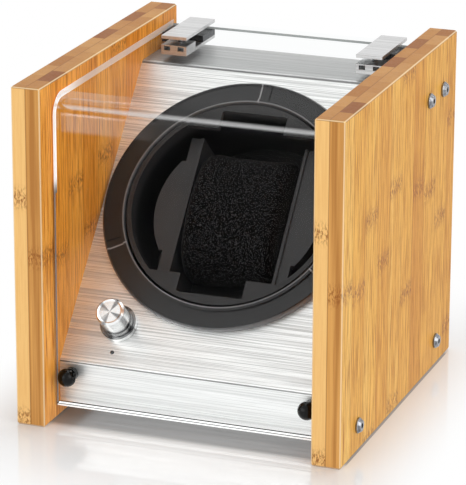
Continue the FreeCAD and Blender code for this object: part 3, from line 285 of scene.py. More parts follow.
STRIP_WIDTH = 17.5 * MM
PLY_THICK = 7 * MM
PLY_SHIFT = 0.47
# Share of a normal along an axis, over which a face counts as square to it
FACING = 0.6
FIBRE_CELLS = (1000, 1000, 34)
STREAK_CELLS = (330, 330, 6)
CLOUD_CELLS = (70, 70, 16)
SPECK_CELLS = (1300, 1300, 480)
TONE_SEED, KNUCKLE_SEED, BLOCK_SEED = 3.0, 9.0, 21.0
TONE_SHARE, STREAK_SHARE, TONE_BASE = 0.34, 0.5, 0.08
WOOD_TONES = ((0.2, srgb(198, 128, 36)), (0.42, srgb(224, 162, 60)), (0.58, srgb(240, 184, 80)),
              (0.8, srgb(254, 212, 118)))
FIBRE_RANGE, FIBRE_COLOUR = (0.36, 0.56, 0.8, 0.0), srgb(156, 88, 20)
CLOUD_WEIGHT, CLOUD_COLOUR = 0.2, srgb(190, 114, 34)
INNER_SHADE_TINT = (1.16, 0.92, 0.78, 1)
PALE_PLY_RANGE, PALE_PLY = (0.34, 0.62, 0.3, 0.0), (srgb(246, 198, 126), srgb(222, 158, 84))
BROWN_PLY_RANGE, BROWN_PLY = (0.35, 0.65, 0.75, 0.0), (srgb(224, 166, 92), srgb(164, 102, 42))
END_TONES = ((0.12, srgb(138, 76, 8)), (0.3, srgb(176, 116, 44)), (0.75, srgb(196, 142, 76)))
END_CLOUD_WEIGHT, END_CLOUD_COLOUR = 0.3, srgb(166, 108, 48)
KNUCKLE_PITCH = 105 * MM
KNUCKLE_HALF = 7.5 * MM
SPECK_RANGE, SPECK_COLOUR = (0.44, 0.6, 0.0, 0.85), srgb(140, 76, 26)
GLUE_RANGE = (0.0, 0.016, 0.45, 0.0)
PLY_SEAM_RANGE = (0.0, 0.4 * MM, 0.6, 0.0)
GLUE_COLOUR = srgb(128, 74, 28)
ARRIS = 0.8 * MM
ARRIS_HIGHLIGHT_WEIGHT, ARRIS_HIGHLIGHT_COLOUR = 0.65, srgb(255, 236, 196)
WOOD_ROUGH = (0.5, 0.38)
FIBRE_RELIEF, KNUCKLE_RELIEF = 0.6, 0.5


def bamboo(name, low, high):
    """Laminated bamboo: upright strips in two plies, with fibres, tone changes and knuckles."""
    tree = material_tree(name)
    middle = (low.x + high.x) / 2
    x, y, z = tree.split(tree.place())
    facing = tree.split(tree.add("ShaderNodeTexCoord").outputs["Normal"])
    at_front = tree.over(tree.absolute(facing[1]), FACING)
    at_end = tree.over(tree.absolute(facing[2]), FACING)
    ply = tree.math("FLOOR", tree.math("DIVIDE", tree.math("SUBTRACT", x, middle), PLY_THICK))
    shifted = tree.math("ADD", tree.math("DIVIDE", y, STRIP_WIDTH), tree.product(ply, PLY_SHIFT))
    strip = tree.math("FLOOR", shifted)
    fibres = tree.grain(FIBRE_CELLS, detail=4.0, roughness=0.7)
    streaks = tree.grain(STREAK_CELLS)
    cloud = tree.grain(CLOUD_CELLS, detail=2.0)
    tone = tree.math("MULTIPLY_ADD", tree.random(strip, ply, TONE_SEED), TONE_SHARE,
                     tree.math("MULTIPLY_ADD", streaks, STREAK_SHARE, TONE_BASE))
    colour = tree.ramp(tone, *WOOD_TONES)
    colour = tree.mix(tree.range(fibres, *FIBRE_RANGE), colour, FIBRE_COLOUR)
    colour = tree.mix(tree.spread(cloud, CLOUD_WEIGHT, 0.0), colour, CLOUD_COLOUR)
    # Painted shade: the faces inside the box are darker and warmer, as in shade lit by light bounced off the wood
    inside_shade = tree.under(tree.absolute(x), abs(middle))
    colour = tree.mix(inside_shade, colour, INNER_SHADE_TINT, blend="MULTIPLY")
    # Front and rear edges show one pale and one brown ply; the ends show the strips as blocks
    pale = tree.mix(tree.range(fibres, *PALE_PLY_RANGE), *PALE_PLY)
    brown = tree.mix(tree.range(streaks, *BROWN_PLY_RANGE), *BROWN_PLY)
    colour = tree.mix(at_front, colour, tree.mix(tree.math("ADD", ply, 1.0), pale, brown))
    ends = tree.ramp(tree.random(strip, ply, BLOCK_SEED), *END_TONES)
    ends = tree.mix(tree.spread(cloud, END_CLOUD_WEIGHT, 0.0), ends, END_CLOUD_COLOUR)
    colour = tree.mix(at_end, colour, ends)
    # Knuckles lie at a different height in each strip
    lift = tree.product(tree.random(strip, ply, KNUCKLE_SEED), KNUCKLE_PITCH)
    along = tree.math("PINGPONG", tree.math("ADD", z, lift), KNUCKLE_PITCH / 2)
    specks = tree.range(tree.grain(SPECK_CELLS), *SPECK_RANGE)
    knuckle = tree.product(tree.range(along, 0.0, KNUCKLE_HALF, 1.0, 0.0), specks,
                           tree.inverse(at_end))
    colour = tree.mix(knuckle, colour, SPECK_COLOUR)
    # Glue lines between strips and between the plies
    from_edge = tree.math("PINGPONG", tree.math("FRACT", shifted), 0.5)
    glue = tree.product(tree.range(from_edge, *GLUE_RANGE), tree.inverse(at_front))
    seam = tree.range(tree.gap(x, middle), *PLY_SEAM_RANGE)
    colour = tree.mix(tree.most(glue, seam), colour, GLUE_COLOUR)
    # Painted highlight: arrises, where two faces meet, are paler, as a rounded edge catching the light
    near_x, near_y, near_z = (
        tree.range(tree.math("MINIMUM", tree.math("SUBTRACT", at, least),
                             tree.math("SUBTRACT", most, at)), ARRIS * 0.5, ARRIS, 1.0, 0.0)
        for at, least, most in zip((x, y, z), low, high))
    arris_highlight = tree.most(tree.product(near_x, near_y),
                      tree.product(near_z, tree.most(near_x, near_y)))
    colour = tree.mix(tree.product(arris_highlight, ARRIS_HIGHLIGHT_WEIGHT), colour, ARRIS_HIGHLIGHT_COLOUR)
    relief = tree.blend(fibres, FIBRE_RELIEF, knuckle, KNUCKLE_RELIEF)
    return tree.set(Base_Color=colour, Roughness=tree.spread(fibres, *WOOD_ROUGH),
                    Specular_IOR_Level=0.14, Coat_Weight=0.03, Coat_Roughness=0.15,
                    Normal=tree.bump(relief, distance=0.1 * MM, strength=0.3))


# Metals

BRUSH_LINES = 2100
FINE_ALONG, FINE_SHARE = 11, 0.9
BROAD_ALONG, BROAD_ACROSS, BROAD_SHARE = 4, 0.2, 0.1
BRUSH_RANGE = (0.42, 0.58, 1.0, 0.0)
BRUSH_DEPTH = 0.008 * MM
BRUSH_ROUGH_CHANGE = (0.1, -0.06)
LOW_FOLD = 26.4 * MM
HIGH_FOLD_DROP = 0.8 * MM
FOLD_HALF = 0.45 * MM
FOLD_SHADE_WEIGHT, FOLD_SHADE_COLOUR = 0.8, srgb(60, 60, 60)
STRIP_HIGHLIGHT = 0.4
TOP_SHADE_WEIGHT, TOP_SHADE_COLOUR = 0.62, srgb(120, 120, 120)


def brushed(name, colour, dark, across, rough=0.3, folds=None):
    """Brushed metal with long fine lines along X, across of them a metre.

    Folds are the heights of a low and a high fold: each has a painted dark line of shade, the sheet
    has painted light under the low one and painted shade over the high one.
    """
    tree = material_tree(name)
    fine = tree.grain((FINE_ALONG, across, across), roughness=0.75)
    wide = across * BROAD_ACROSS
    broad = tree.grain((BROAD_ALONG, wide, wide), detail=1.0)
    lines = tree.blend(fine, FINE_SHARE, broad, BROAD_SHARE)
    tone = tree.mix(tree.range(lines, *BRUSH_RANGE), colour, dark)
    if folds:
        # Painted light and shade: the strip under the low fold is lighter, each fold has a dark shade line, and
        # the top over the high fold is darker
        low, high = folds
        height = tree.split(tree.place())[2]
        lift = tree.range(height, low - FOLD_HALF, low, STRIP_HIGHLIGHT, 0.0)
        tone = tree.mix(lift, tone, colour)
        for fold in folds:
            line = tree.range(tree.gap(height, fold), FOLD_HALF * 0.5, FOLD_HALF, FOLD_SHADE_WEIGHT, 0.0)
            tone = tree.mix(line, tone, FOLD_SHADE_COLOUR)
        top_shade = tree.range(height, high, high + FOLD_HALF, 0.0, TOP_SHADE_WEIGHT)
        tone = tree.mix(top_shade, tone, TOP_SHADE_COLOUR)
    roughs = (rough + change for change in BRUSH_ROUGH_CHANGE)
    return tree.set(Base_Color=tone, Metallic=1.0, Roughness=tree.spread(lines, *roughs),
                    Normal=tree.bump(lines, distance=BRUSH_DEPTH, strength=0.5))


LATHE_LINES = 5200
FAN_BLADES, FAN_SHARE = 4.0, 0.75
FINE_BLADES, FINE_BLADE_TURN, FINE_BLADE_SHARE = 9.0, 1.1, 0.25
FAN_HIGHLIGHT_RANGE = (-0.9, 0.1, 0.8, 0.0)
KNOB_GROOVES = (0.0, 3.0 * MM, 5.6 * MM)
GROOVE_HALF = 0.3 * MM
GROOVE_SHADE_WEIGHT, GROOVE_SHADE_COLOUR = 0.8, srgb(30, 30, 31)
SPUN_ROUGH = (0.2, 0.34)


def turned_metal(name, origin, colour, dark):
    """Spun aluminium: fine rings round an axis, and a painted fan of highlight and shade."""
    tree = material_tree(name)
    across, up, radius = tree.on_slope(origin)
    rise = tree.offset(origin, SLOPE_OUT)
    angle = tree.math("ARCTAN2", up, across)
    rings = tree.noise(tree.join(tree.product(radius, LATHE_LINES),
                                 tree.product(rise, LATHE_LINES), 0.0), detail=2.0)
    # Painted highlight and shade: bright and dark blades round the axis stand in for a lathe-cut face's
    # reflections
    fan_highlight = tree.math("SINE", tree.product(angle, FAN_BLADES))
    fine = tree.math("SINE", tree.math("MULTIPLY_ADD", angle, FINE_BLADES, FINE_BLADE_TURN))
    shade = tree.blend(fan_highlight, FAN_SHARE, fine, FINE_BLADE_SHARE)
    tone = tree.mix(tree.range(shade, *FAN_HIGHLIGHT_RANGE), colour, dark)
    # Painted shade: dark lines where the knob meets the slope and at its steps
    for groove in KNOB_GROOVES:
        line = tree.range(tree.gap(rise, groove), GROOVE_HALF * 0.6, GROOVE_HALF,
                          GROOVE_SHADE_WEIGHT, 0.0)
        tone = tree.mix(line, tone, GROOVE_SHADE_COLOUR)
    return tree.set(Base_Color=tone, Metallic=1.0, Roughness=tree.spread(rings, *SPUN_ROUGH),
                    Normal=tree.bump(rings, distance=0.015 * MM, strength=0.6))


TOOL_MARKS = (900, 900, 180)
TOOL_MARK_RANGE = (0.35, 0.7)
TOOL_ROUGH_CHANGE = (-0.04, 0.1)


def plain_metal(name, colour, dark, rough):
    """Plated or machined metal with faint tool marks and dulled patches."""
    tree = material_tree(name)
    marks = tree.grain(TOOL_MARKS)
    tone = tree.mix(tree.range(marks, *TOOL_MARK_RANGE), colour, dark)
    roughs = (rough + change for change in TOOL_ROUGH_CHANGE)
    return tree.set(Base_Color=tone, Metallic=1.0, Roughness=tree.spread(marks, *roughs),
                    Normal=tree.bump(marks, distance=0.01 * MM, strength=0.4))


# Plastics

SPARK_GRAIN = even(2600)
PATCH_CELLS, PATCH_WEIGHT = even(40), 0.6
ROUGH_CHANGE = 0.04
DRUM_SHADE_DEPTHS = (1.5 * MM, 6 * MM)
DEEP_SHADE_WEIGHT, DEEP_SHADE_COLOUR = 0.94, srgb(2, 2, 2)


def moulded(name, colour, light, rough, coat=0.0, shine=0.3, shade_depths=None):
    """Moulded plastic with a fine spark-eroded grain and slight tone changes.

    Two depths under the slope, when given, between which painted shade turns it black.
    """
    tree = material_tree(name)
    fine = tree.grain(SPARK_GRAIN)
    patches = tree.grain(PATCH_CELLS, detail=2.0)
    tone = tree.mix(tree.spread(patches, 0.0, PATCH_WEIGHT), colour, light)
    if shade_depths:
        # Painted shade: black deep inside the drum, where little light reaches
        depth = tree.offset(TURNTABLE_CENTRE, -SLOPE_OUT)
        tone = tree.mix(tree.range(depth, *shade_depths, 0.0, DEEP_SHADE_WEIGHT), tone, DEEP_SHADE_COLOUR)
    return tree.set(Base_Color=tone, Specular_IOR_Level=shine, Coat_Weight=coat,
                    Roughness=tree.spread(fine, rough - ROUGH_CHANGE, rough + ROUGH_CHANGE),
                    Normal=tree.bump(fine, distance=0.002 * MM, strength=0.2))


BEZEL_BAND = 10.5 * MM
SEAM_ANGLES = (90, 209, 328)
SEAM_HALF, SEAM_HIGHLIGHT_WEIGHT = 0.28 * MM, 0.8
RIM_LINE, BORE_HIGHLIGHT_WEIGHT, OUTSIDE_HIGHLIGHT_WEIGHT = 0.35 * MM, 0.5, 0.35
HIGHLIGHT_MARK_COLOUR = srgb(160, 160, 162)
BEZEL_GRAIN = even(1800)
BEZEL_ROUGH = (0.25, 0.27)
BLACK = srgb(30, 30, 31)
BLACK_LIGHT = srgb(33, 33, 34)


def bezel(name, bore, outside):
    """The moulded black of the bezel ring, with painted highlights along three seams and its edges."""
    tree = material_tree(name)
    across, up, radius = tree.on_slope(TURNTABLE_CENTRE)
    # Painted highlights: pale lines along the bore and outside edges and along three seams
    marks = tree.most(*(
        tree.range(tree.gap(radius, edge), RIM_LINE, RIM_LINE * 2, weight, 0.0)
        for edge, weight in ((bore, BORE_HIGHLIGHT_WEIGHT), (outside, OUTSIDE_HIGHLIGHT_WEIGHT))))
    for angle in SEAM_ANGLES:
        cosine, sine = math.cos(math.radians(angle)), math.sin(math.radians(angle))
        aside = tree.absolute(tree.blend(up, cosine, across, -sine))
        ahead = tree.blend(across, cosine, up, sine)
        line = tree.range(aside, SEAM_HALF, SEAM_HALF * 1.5, SEAM_HIGHLIGHT_WEIGHT, 0.0)
        marks = tree.most(marks, tree.product(line, tree.over(ahead, 0.0)))
    fine = tree.grain(BEZEL_GRAIN, detail=2.0)
    tone = tree.mix(marks, tree.mix(fine, BLACK, BLACK_LIGHT), HIGHLIGHT_MARK_COLOUR)
    return tree.set(Base_Color=tone, Roughness=tree.spread(fine, *BEZEL_ROUGH),
                    Specular_IOR_Level=0.45)


COVER_BEND = 10 * MM
FOOT_GLOW = 0.7 * MM
FOOT_SHADE, FOOT_SHADE_WEIGHT = 1.15 * MM, 0.75
RIM_DEPTH = 0.25 * MM
REAR_CLEAR, REAR_SHADE = 1.9 * MM, 0.55
EDGE_LINE = 1.8 * MM
EDGE_TURN = 112 * MM
EDGE_FADE = 4 * MM
EDGE_WEIGHTS = (0.85, 0.4)
EDGE_SHADE = 0.97
SAW_CELLS = even(900)
EDGE_BRIGHT, EDGE_SAWN = srgb(252, 253, 253), srgb(236, 240, 240)
EDGE_OVER_WEIGHT, EDGE_OVER = 0.8, srgb(206, 213, 212)
EDGE_SHADE_BLACK = srgb(6, 5, 5)
BEND_START, BEND_PEAK, BEND_END, BEND_GLOSS = 0.26, 0.36, 0.46, 0.42
REFLECTION_SIDE = (-50 * MM, -8 * MM)
REFLECTION_OVER, REFLECTION_OVER_RANGE = 0.16, (0.56, 0.62)
REFLECTION_UNDER, REFLECTION_UNDER_RANGE = 0.09, (0.1, 0.2, 1.0, 0.0)
REFLECTION_DROP = 7 * MM
SLANT_POWER, SLANT_GLOSS, FACE_GLOSS = 4.0, 0.035, 0.002
CLEAR_COLOUR = (0.99, 0.995, 0.995, 1)
COVER_ROUGH = 0.03


def cover_gloss(tree, low, high):
    """Share of gloss on the cover: some at a slant, and painted reflections in and beside its bend."""
    x, y, z = tree.split(tree.place())
    behind = tree.math("SUBTRACT", low.y + COVER_BEND, y)
    above = tree.math("SUBTRACT", z, high.z - COVER_BEND)
    # Angle round the bend, 0 at the front sheet and 1 at the top sheet
    turn = tree.math("DIVIDE", tree.math("ARCTAN2", above, behind), math.pi / 2)
    in_bend = tree.product(tree.over(behind, 0.0), tree.over(above, 0.0))
    # Painted highlight: a bright line of extra gloss round the bend
    streak = tree.product(tree.range(turn, BEND_START, BEND_PEAK),
                          tree.range(turn, BEND_PEAK, BEND_END, 1.0, 0.0))
    shine = tree.product(in_bend, streak, BEND_GLOSS)
    # Painted reflections: pale patches over and under the bright line, at the left only
    over_line = tree.product(tree.range(tree.product(in_bend, turn), *REFLECTION_OVER_RANGE), REFLECTION_OVER)
    under_line = tree.product(tree.under(y, low.y + COVER_BEND),
                              tree.range(above, -REFLECTION_DROP, -REFLECTION_DROP * 0.8),
                              tree.range(turn, *REFLECTION_UNDER_RANGE), REFLECTION_UNDER)
    painted_reflection = tree.product(tree.range(x, *REFLECTION_SIDE, 1.0, 0.0),
                         tree.math("ADD", over_line, under_line))
    facing = tree.add("ShaderNodeLayerWeight").outputs["Facing"]
    slant = tree.math("MULTIPLY_ADD", tree.math("POWER", facing, SLANT_POWER), SLANT_GLOSS,
                      FACE_GLOSS)
    return tree.math("ADD", slant, tree.math("ADD", shine, painted_reflection))


def cover_edges(tree, low, high):
    """Where the cover's sawn edges show, and their colour with painted light and shade."""
    x, y, z = tree.split(tree.place())
    foot = tree.under(z, low.z + FOOT_GLOW)
    foot_shade = tree.product(tree.over(z, low.z + FOOT_GLOW), tree.under(z, low.z + FOOT_SHADE))
    rear = tree.product(tree.over(y, high.y - RIM_DEPTH), tree.under(z, high.z - REAR_CLEAR))
    outer = tree.most(tree.under(y, low.y + EDGE_LINE), tree.over(z, EDGE_TURN - EDGE_FADE))
    fading = tree.range(y, low.y + COVER_BEND * 0.5, low.y + COVER_BEND * 4, *EDGE_WEIGHTS)
    sides = tree.product(tree.over(tree.absolute(x), high.x - RIM_DEPTH), outer, fading)
    shown = tree.most(foot, rear, sides, tree.product(foot_shade, FOOT_SHADE_WEIGHT))
    # Painted light and shade: bright at the foot and round the bend, greyer over the top,
    # black low on the sides, and a dark shadow line over the foot
    bright = tree.mix(tree.grain(SAW_CELLS, detail=2.0), EDGE_BRIGHT, EDGE_SAWN)
    over = tree.range(y, low.y + COVER_BEND, low.y + COVER_BEND * 4, 0.0, EDGE_OVER_WEIGHT)
    bright = tree.mix(over, bright, EDGE_OVER)
    lower_shade = tree.range(z, EDGE_TURN - EDGE_FADE, EDGE_TURN + EDGE_FADE, EDGE_SHADE, 0.0)
    dark = tree.most(foot_shade, tree.product(sides, lower_shade), tree.product(rear, REAR_SHADE))
    return shown, tree.mix(dark, bright, EDGE_SHADE_BLACK)


def acrylic(name):
    """Clear polished sheet: see-through, with a painted bright bend and sawn edges that glow."""
    tree = material_tree(name)
    low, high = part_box("clear_cover")
    clear = tree.add("ShaderNodeBsdfTransparent")
    clear.inputs["Color"].default_value = CLEAR_COLOUR
    body = tree.mix_shaders(cover_gloss(tree, low, high), clear.outputs[0],
                            tree.glossy(COVER_ROUGH))
    shown, edge_colour = cover_edges(tree, low, high)
    # Painted light: the sawn edges glow in their own colour, though they are no lamp
    tree.set(Base_Color=edge_colour, Roughness=0.5, Specular_IOR_Level=0.1,
             Emission_Color=edge_colour, Emission_Strength=0.4)
    return tree.show(tree.mix_shaders(shown, body, tree.main_shader()))


# Plush, board and lens

TUFT_CELLS, NAP_CELLS = even(1100), even(260)
TUFT_TONES = ((0.4, srgb(1, 1, 1)), (0.52, srgb(7, 7, 8)), (0.66, srgb(64, 64, 66)))
NAP_RANGE, NAP_COLOUR = (0.35, 0.7, 0.0, 0.4), srgb(8, 8, 9)
TUFT_RELIEF, NAP_RELIEF = 0.7, 0.6


def plush(name):
    """Black short-pile plush: tiny tufts, a soft sheen and brushed patches."""
    tree = material_tree(name)
    tufts = tree.grain(TUFT_CELLS, roughness=0.75)
    nap = tree.grain(NAP_CELLS)
    tone = tree.mix(tree.range(nap, *NAP_RANGE), tree.ramp(tufts, *TUFT_TONES), NAP_COLOUR)
    relief = tree.blend(tufts, TUFT_RELIEF, nap, NAP_RELIEF)
    return tree.set(Base_Color=tone, Roughness=0.95, Sheen_Weight=0.03, Sheen_Roughness=0.4,
                    Specular_IOR_Level=0.08,
                    Normal=tree.bump(relief, distance=0.5 * MM, strength=0.8))


TRACE_CELLS = (160, 160, 1)
TRACE_BANDS = 9.0
TRACE_RANGE = (0.2, 0.26)


def board_green(name):
    """Solder mask with faint traces."""
    tree = material_tree(name)
    bands = tree.product(tree.grain(TRACE_CELLS, detail=0.0), TRACE_BANDS)
    line = tree.range(tree.math("PINGPONG", bands, 0.5), *TRACE_RANGE)
    return tree.set(Base_Color=tree.mix(line, srgb(18, 92, 52), srgb(30, 120, 70)), Roughness=0.35)


LENS_CELLS = even(700)


def lens(name):
    """A small clear lamp lens."""
    tree = material_tree(name)
    tone = tree.mix(tree.grain(LENS_CELLS), srgb(30, 30, 32), srgb(70, 72, 76))
    return tree.set(Base_Color=tone, Roughness=0.2, Coat_Weight=0.5)


# Finishes

ALUMINIUM = srgb(252, 252, 251)
ALUMINIUM_DARK = srgb(201, 201, 200)
MOULDED = srgb(42, 42, 43)
MOULDED_LIGHT = srgb(48, 48, 49)
MOULDED_ROUGH = 0.34
LIT_SHELF = srgb(56, 56, 57)
LIT_SHELF_LIGHT = srgb(62, 62, 63)
CLAMP_LINES = 2200
SHEET_LINES = 700

finishes = {
    "brushed_aluminium": brushed("brushed_aluminium", ALUMINIUM, ALUMINIUM_DARK, BRUSH_LINES),
    "clamp_aluminium": brushed("clamp_aluminium", srgb(214, 214, 214), srgb(186, 186, 186),
                               CLAMP_LINES, rough=0.32),
    "spun_aluminium": turned_metal("spun_aluminium", KNOB_CENTRE, srgb(252, 252, 252),
                                   srgb(96, 96, 98)),
    "clear_acrylic": acrylic("clear_acrylic"),
    "black_plastic": moulded("black_plastic", MOULDED, MOULDED_LIGHT, MOULDED_ROUGH),
    "black_plush": plush("black_plush"),
    "black_rubber": moulded("black_rubber", srgb(7, 7, 7), srgb(11, 11, 11), 0.2, coat=0.1,
                            shine=0.14),
    "dark_metal": plain_metal("dark_metal", srgb(74, 75, 78), srgb(52, 53, 56), 0.32),
    "bright_steel": plain_metal("bright_steel", srgb(158, 159, 162), srgb(104, 105, 108), 0.14),
    "sheet_steel": brushed("sheet_steel", srgb(196, 198, 200), srgb(150, 152, 155), SHEET_LINES,
                           rough=0.38),
    "bronze": plain_metal("bronze", srgb(196, 158, 98), srgb(160, 120, 70), 0.3),
    "white_nylon": moulded("white_nylon", srgb(228, 226, 218), srgb(238, 236, 230), 0.45),
    "black_fitting": moulded("black_fitting", srgb(28, 28, 29), srgb(40, 40, 41), 0.42),
    "circuit_board": board_green("circuit_board"),
    "lamp_lens": lens("lamp_lens"),
}
slot_of = {row["node"]: row["material_slot"] for row in frame["record"]["subparts"]}


def dress(name, node):
    """Give a CAD node its finish: its own for some, and its slot's for the rest."""
    slot = slot_of[name]
    if slot == "bamboo":
        material = bamboo(f"bamboo_{name}", *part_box(name))
    elif name == "front_fascia":
        high_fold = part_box(name)[1].z - HIGH_FOLD_DROP
        material = brushed("brushed_aluminium_folded", ALUMINIUM, ALUMINIUM_DARK, BRUSH_LINES,
                           rough=0.42, folds=(LOW_FOLD, high_fold))
    elif name == "bezel_ring":
        low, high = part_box(name)
        half = (high.x - low.x) / 2
        material = bezel("black_plastic_bezel", half - BEZEL_BAND, half)
    elif name == "drum_shell":
        material = moulded("black_plastic_drum", MOULDED, MOULDED_LIGHT, MOULDED_ROUGH,
                           shade_depths=DRUM_SHADE_DEPTHS)
    elif name == "watch_cradle":
        # Painted light: the cradle is a lighter copy of the black plastic, for the light on its flat shelves
        material = moulded("black_plastic_cradle_lit", LIT_SHELF, LIT_SHELF_LIGHT, MOULDED_ROUGH)
    else:
        material = finishes[slot]
    node.data.materials.clear()
    node.data.materials.append(material)


# Bevel widths, in millimetres
SOFT_EDGES = {
    "front_fascia": 0.3, "rear_cover": 0.3, "bezel_ring": 0.35, "drum_shell": 0.35,
    "watch_cradle": 0.4, "selector_knob": 0.25, "switch_nut": 0.3, "left_bumper": 0.2,
    "right_bumper": 0.2, "clear_cover": 0.2, "left_hinge_top_plate": 0.25,
    "right_hinge_top_plate": 0.25, "left_hinge_bottom_plate": 0.25,
    "right_hinge_bottom_plate": 0.25, "left_hinge_lug": 0.4, "right_hinge_lug": 0.4,
    "panel_screws": 0.25, "power_jack": 0.25,
}
BEVEL_STEPS = 3
BEVEL_ANGLE = math.radians(35)


def soften(node, width):
    """A small bevel that catches light along a solid's edges."""
    bevel = node.modifiers.new("soft_edges", "BEVEL")
    bevel.width = width
    bevel.segments = BEVEL_STEPS
    bevel.limit_method = "ANGLE"
    bevel.angle_limit = BEVEL_ANGLE


for name, node in nodes.items():
    dress(name, node)
for name, width in SOFT_EDGES.items():
    soften(nodes[name], width * MM)

# Cushion

CUSHION_VOXEL = 3 * MM
CUSHION_SHRINK = 0.93
CUSHION_CAP = 3.5 * MM
CUSHION_PRESSURE = 4.0
CLOTH_FRAMES = 20


def apply_modifiers(piece):
    """Keep the shape that the piece's modifiers make, and remove them."""
    bpy.context.view_layer.update()
    graph = bpy.context.evaluated_depsgraph_get()
    shaped = bpy.data.meshes.new_from_object(piece.evaluated_get(graph))
    piece.modifiers.clear()
    piece.data = shaped


def cushion_start():
    """A slightly smaller copy of the cushion's solid, to be swollen."""
    mesh = nodes["watch_cushion"].data.copy()
    low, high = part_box("watch_cushion")
    middle = (low + high) / 2
    mesh.transform(Matrix.Translation(middle) @ Matrix.Scale(CUSHION_SHRINK, 4)
                   @ Matrix.Translation(-middle))
    piece = bpy.data.objects.new("plush_cushion", mesh)
    bpy.context.scene.collection.objects.link(piece)
    remesh = piece.modifiers.new("voxels", "REMESH")
    remesh.mode = "VOXEL"
    remesh.voxel_size = CUSHION_VOXEL
    apply_modifiers(piece)
    return piece


def swell(piece):
    """Blow the plush up like a stuffed bag, with a limit on how far any point goes."""
    start = [vertex.co.copy() for vertex in piece.data.vertices]
    cloth = piece.modifiers.new("stuffing", "CLOTH")
    cloth.settings.use_pressure = True
    cloth.settings.uniform_pressure_force = CUSHION_PRESSURE
    cloth.settings.effector_weights.gravity = 0
    scene = bpy.context.scene
    for number in range(1, CLOTH_FRAMES + 1):
        scene.frame_set(number)
    apply_modifiers(piece)
    for vertex, was in zip(piece.data.vertices, start):
        moved = vertex.co - was
        if moved.length > CUSHION_CAP:
            vertex.co = was + moved * (CUSHION_CAP / moved.length)
    scene.frame_set(1)


def make_cushion():
    """The stuffed plush cushion, in place of its plain solid."""
    piece = cushion_start()
    swell(piece)
    smooth = piece.modifiers.new("smooth", "SUBSURF")
    smooth.levels = 1
    smooth.render_levels = 1
    apply_modifiers(piece)
    for face in piece.data.polygons:
        face.use_smooth = True
    piece.data.materials.clear()
    piece.data.materials.append(finishes["black_plush"])
    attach(piece, "cushion")
    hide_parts("watch_cushion")


# Floor, light and camera

FLOOR_HALF = 3.0
DUST_CELLS = even(30)
FLOOR_COLOURS = ((0.9, 0.9, 0.9, 1), (0.92, 0.92, 0.92, 1))
FLOOR_SHADOW = (0.3, 0.3, 0.3, 1)
FLOOR_FADE_FRONT = (-20 * MM, 100 * MM)
FLOOR_FADE_SIDE = (-12 * MM, 42 * MM)
SHADE_SETBACK, SHADE_BLUR = 6.5 * MM, 3 * MM
CONTACT_SHADOW_LINE = 0.7 * MM
FLOOR_POLISH, POLISH_ROUGH = 0.3, 0.05
WORLD_FILL = 0.55
LAMP_TARGET = Vector((0, 0, 0.08))
# Name, place, width and height, and power of each lamp
LAMPS = (
    ("key", (-0.9, -1.3, 0.55), (1.4, 0.9), 6.5),
    ("fill", (1.4, -0.6, 0.8), (1.4, 1.2), 10),
    ("top", (0.1, 0.6, 1.5), (1.4, 1.2), 9),
)
PHOTO_HIGH = 485
FOCAL_PIXELS = 3158.0
SENSOR = 36.0
CLIP_END = 20
CAMERA_PLACE = Vector((0.4831, -1.3083, 0.5342))
CAMERA_AZIMUTH = math.radians(20.41)
CAMERA_ELEVATION = math.radians(18.38)
CAMERA_ROLL = math.radians(0.18)


def floor_material():
    """Pale and faintly polished, with a painted shadow under the box, and fading to white away from it."""
    tree = material_tree("floor")
    x, y, _ = tree.split(tree.place())
    beside = tree.math("SUBTRACT", tree.absolute(x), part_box("right_side_panel")[1].x)
    before = tree.math("SUBTRACT", tree.absolute(y), cad_box[1].y)
    pale = tree.mix(tree.grain(DUST_CELLS), *FLOOR_COLOURS)
    # Painted shadow: the floor is darker under the box, out to just past the side panels
    under = tree.product(tree.range(before, -SHADE_SETBACK - SHADE_BLUR,
                                    -SHADE_SETBACK + SHADE_BLUR, 1.0, 0.0),
                         tree.under(beside, CONTACT_SHADOW_LINE))
    tree.set(Base_Color=tree.mix(under, pale, FLOOR_SHADOW), Roughness=0.5, Specular_IOR_Level=0.0)
    polished = tree.mix_shaders(FLOOR_POLISH, tree.main_shader(), tree.glossy(POLISH_ROUGH))
    # White to the camera and in reflections; near the box the camera sees the real shading
    rays = tree.rays()
    share = tree.most(tree.range(before, *FLOOR_FADE_FRONT), tree.range(beside, *FLOOR_FADE_SIDE),
                      rays["Is Glossy Ray"])
    white = tree.add("ShaderNodeEmission").outputs[0]
    return tree.show(tree.mix_shaders(tree.product(tree.seen(rays), share), polished, white))


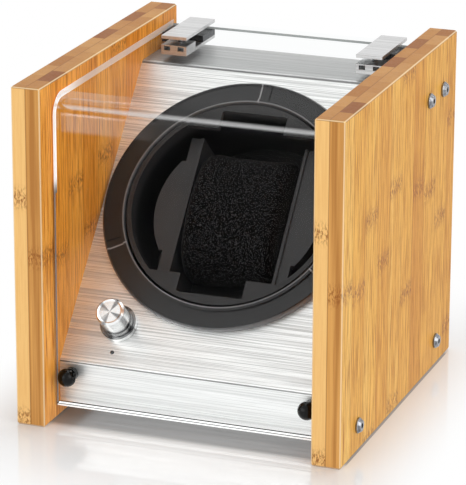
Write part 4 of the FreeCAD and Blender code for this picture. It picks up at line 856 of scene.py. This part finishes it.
def make_floor():
    """A pale floor that keeps the object's shadow."""
    mesh = bpy.data.meshes.new("floor")
    corners = [(x * FLOOR_HALF, y * FLOOR_HALF, 0) for x, y in ((-1, -1), (1, -1), (1, 1), (-1, 1))]
    mesh.from_pydata(corners, [], [(0, 1, 2, 3)])
    mesh.materials.append(floor_material())
    floor = bpy.data.objects.new("floor", mesh)
    bpy.context.scene.collection.objects.link(floor)


def make_world():
    """White for the camera, glossy and see-through rays, and a softer fill for everything else."""
    world = bpy.data.worlds.new("studio")
    bpy.context.scene.world = world
    tree = Tree(world)
    background = tree.nodes["Background"]
    background.inputs["Color"].default_value = (1, 1, 1, 1)
    strength = tree.range(tree.seen(tree.rays()), 0.0, 1.0, WORLD_FILL, 1.0)
    tree.feed(background.inputs["Strength"], strength)


def make_lamp(name, place, size, power):
    """A rectangular lamp that points at the middle of the box."""
    lamp = bpy.data.lights.new(name, "AREA")
    lamp.shape = "RECTANGLE"
    lamp.size, lamp.size_y = size
    lamp.energy = power
    holder = bpy.data.objects.new(name, lamp)
    holder.location = place
    holder.rotation_euler = (LAMP_TARGET - Vector(place)).to_track_quat("-Z", "Y").to_euler()
    bpy.context.scene.collection.objects.link(holder)


def make_camera():
    """The camera that was fitted to the photograph."""
    data = bpy.data.cameras.new("photo_camera")
    data.sensor_width = SENSOR
    data.lens = FOCAL_PIXELS * SENSOR / PHOTO_HIGH
    data.clip_end = CLIP_END
    camera = bpy.data.objects.new("photo_camera", data)
    back = Vector((math.sin(CAMERA_AZIMUTH) * math.cos(CAMERA_ELEVATION),
                   -math.cos(CAMERA_AZIMUTH) * math.cos(CAMERA_ELEVATION),
                   math.sin(CAMERA_ELEVATION)))
    level = Vector((math.cos(CAMERA_AZIMUTH), math.sin(CAMERA_AZIMUTH), 0))
    right = math.cos(CAMERA_ROLL) * level + math.sin(CAMERA_ROLL) * back.cross(level)
    turn = Matrix((right, back.cross(right), back)).transposed()
    camera.matrix_world = Matrix.Translation(CAMERA_PLACE) @ turn.to_4x4()
    bpy.context.scene.collection.objects.link(camera)
    bpy.context.scene.camera = camera


make_cushion()
make_floor()
make_world()
for lamp_row in LAMPS:
    make_lamp(*lamp_row)
make_camera()
bpy.context.scene.view_settings.view_transform = "Standard"
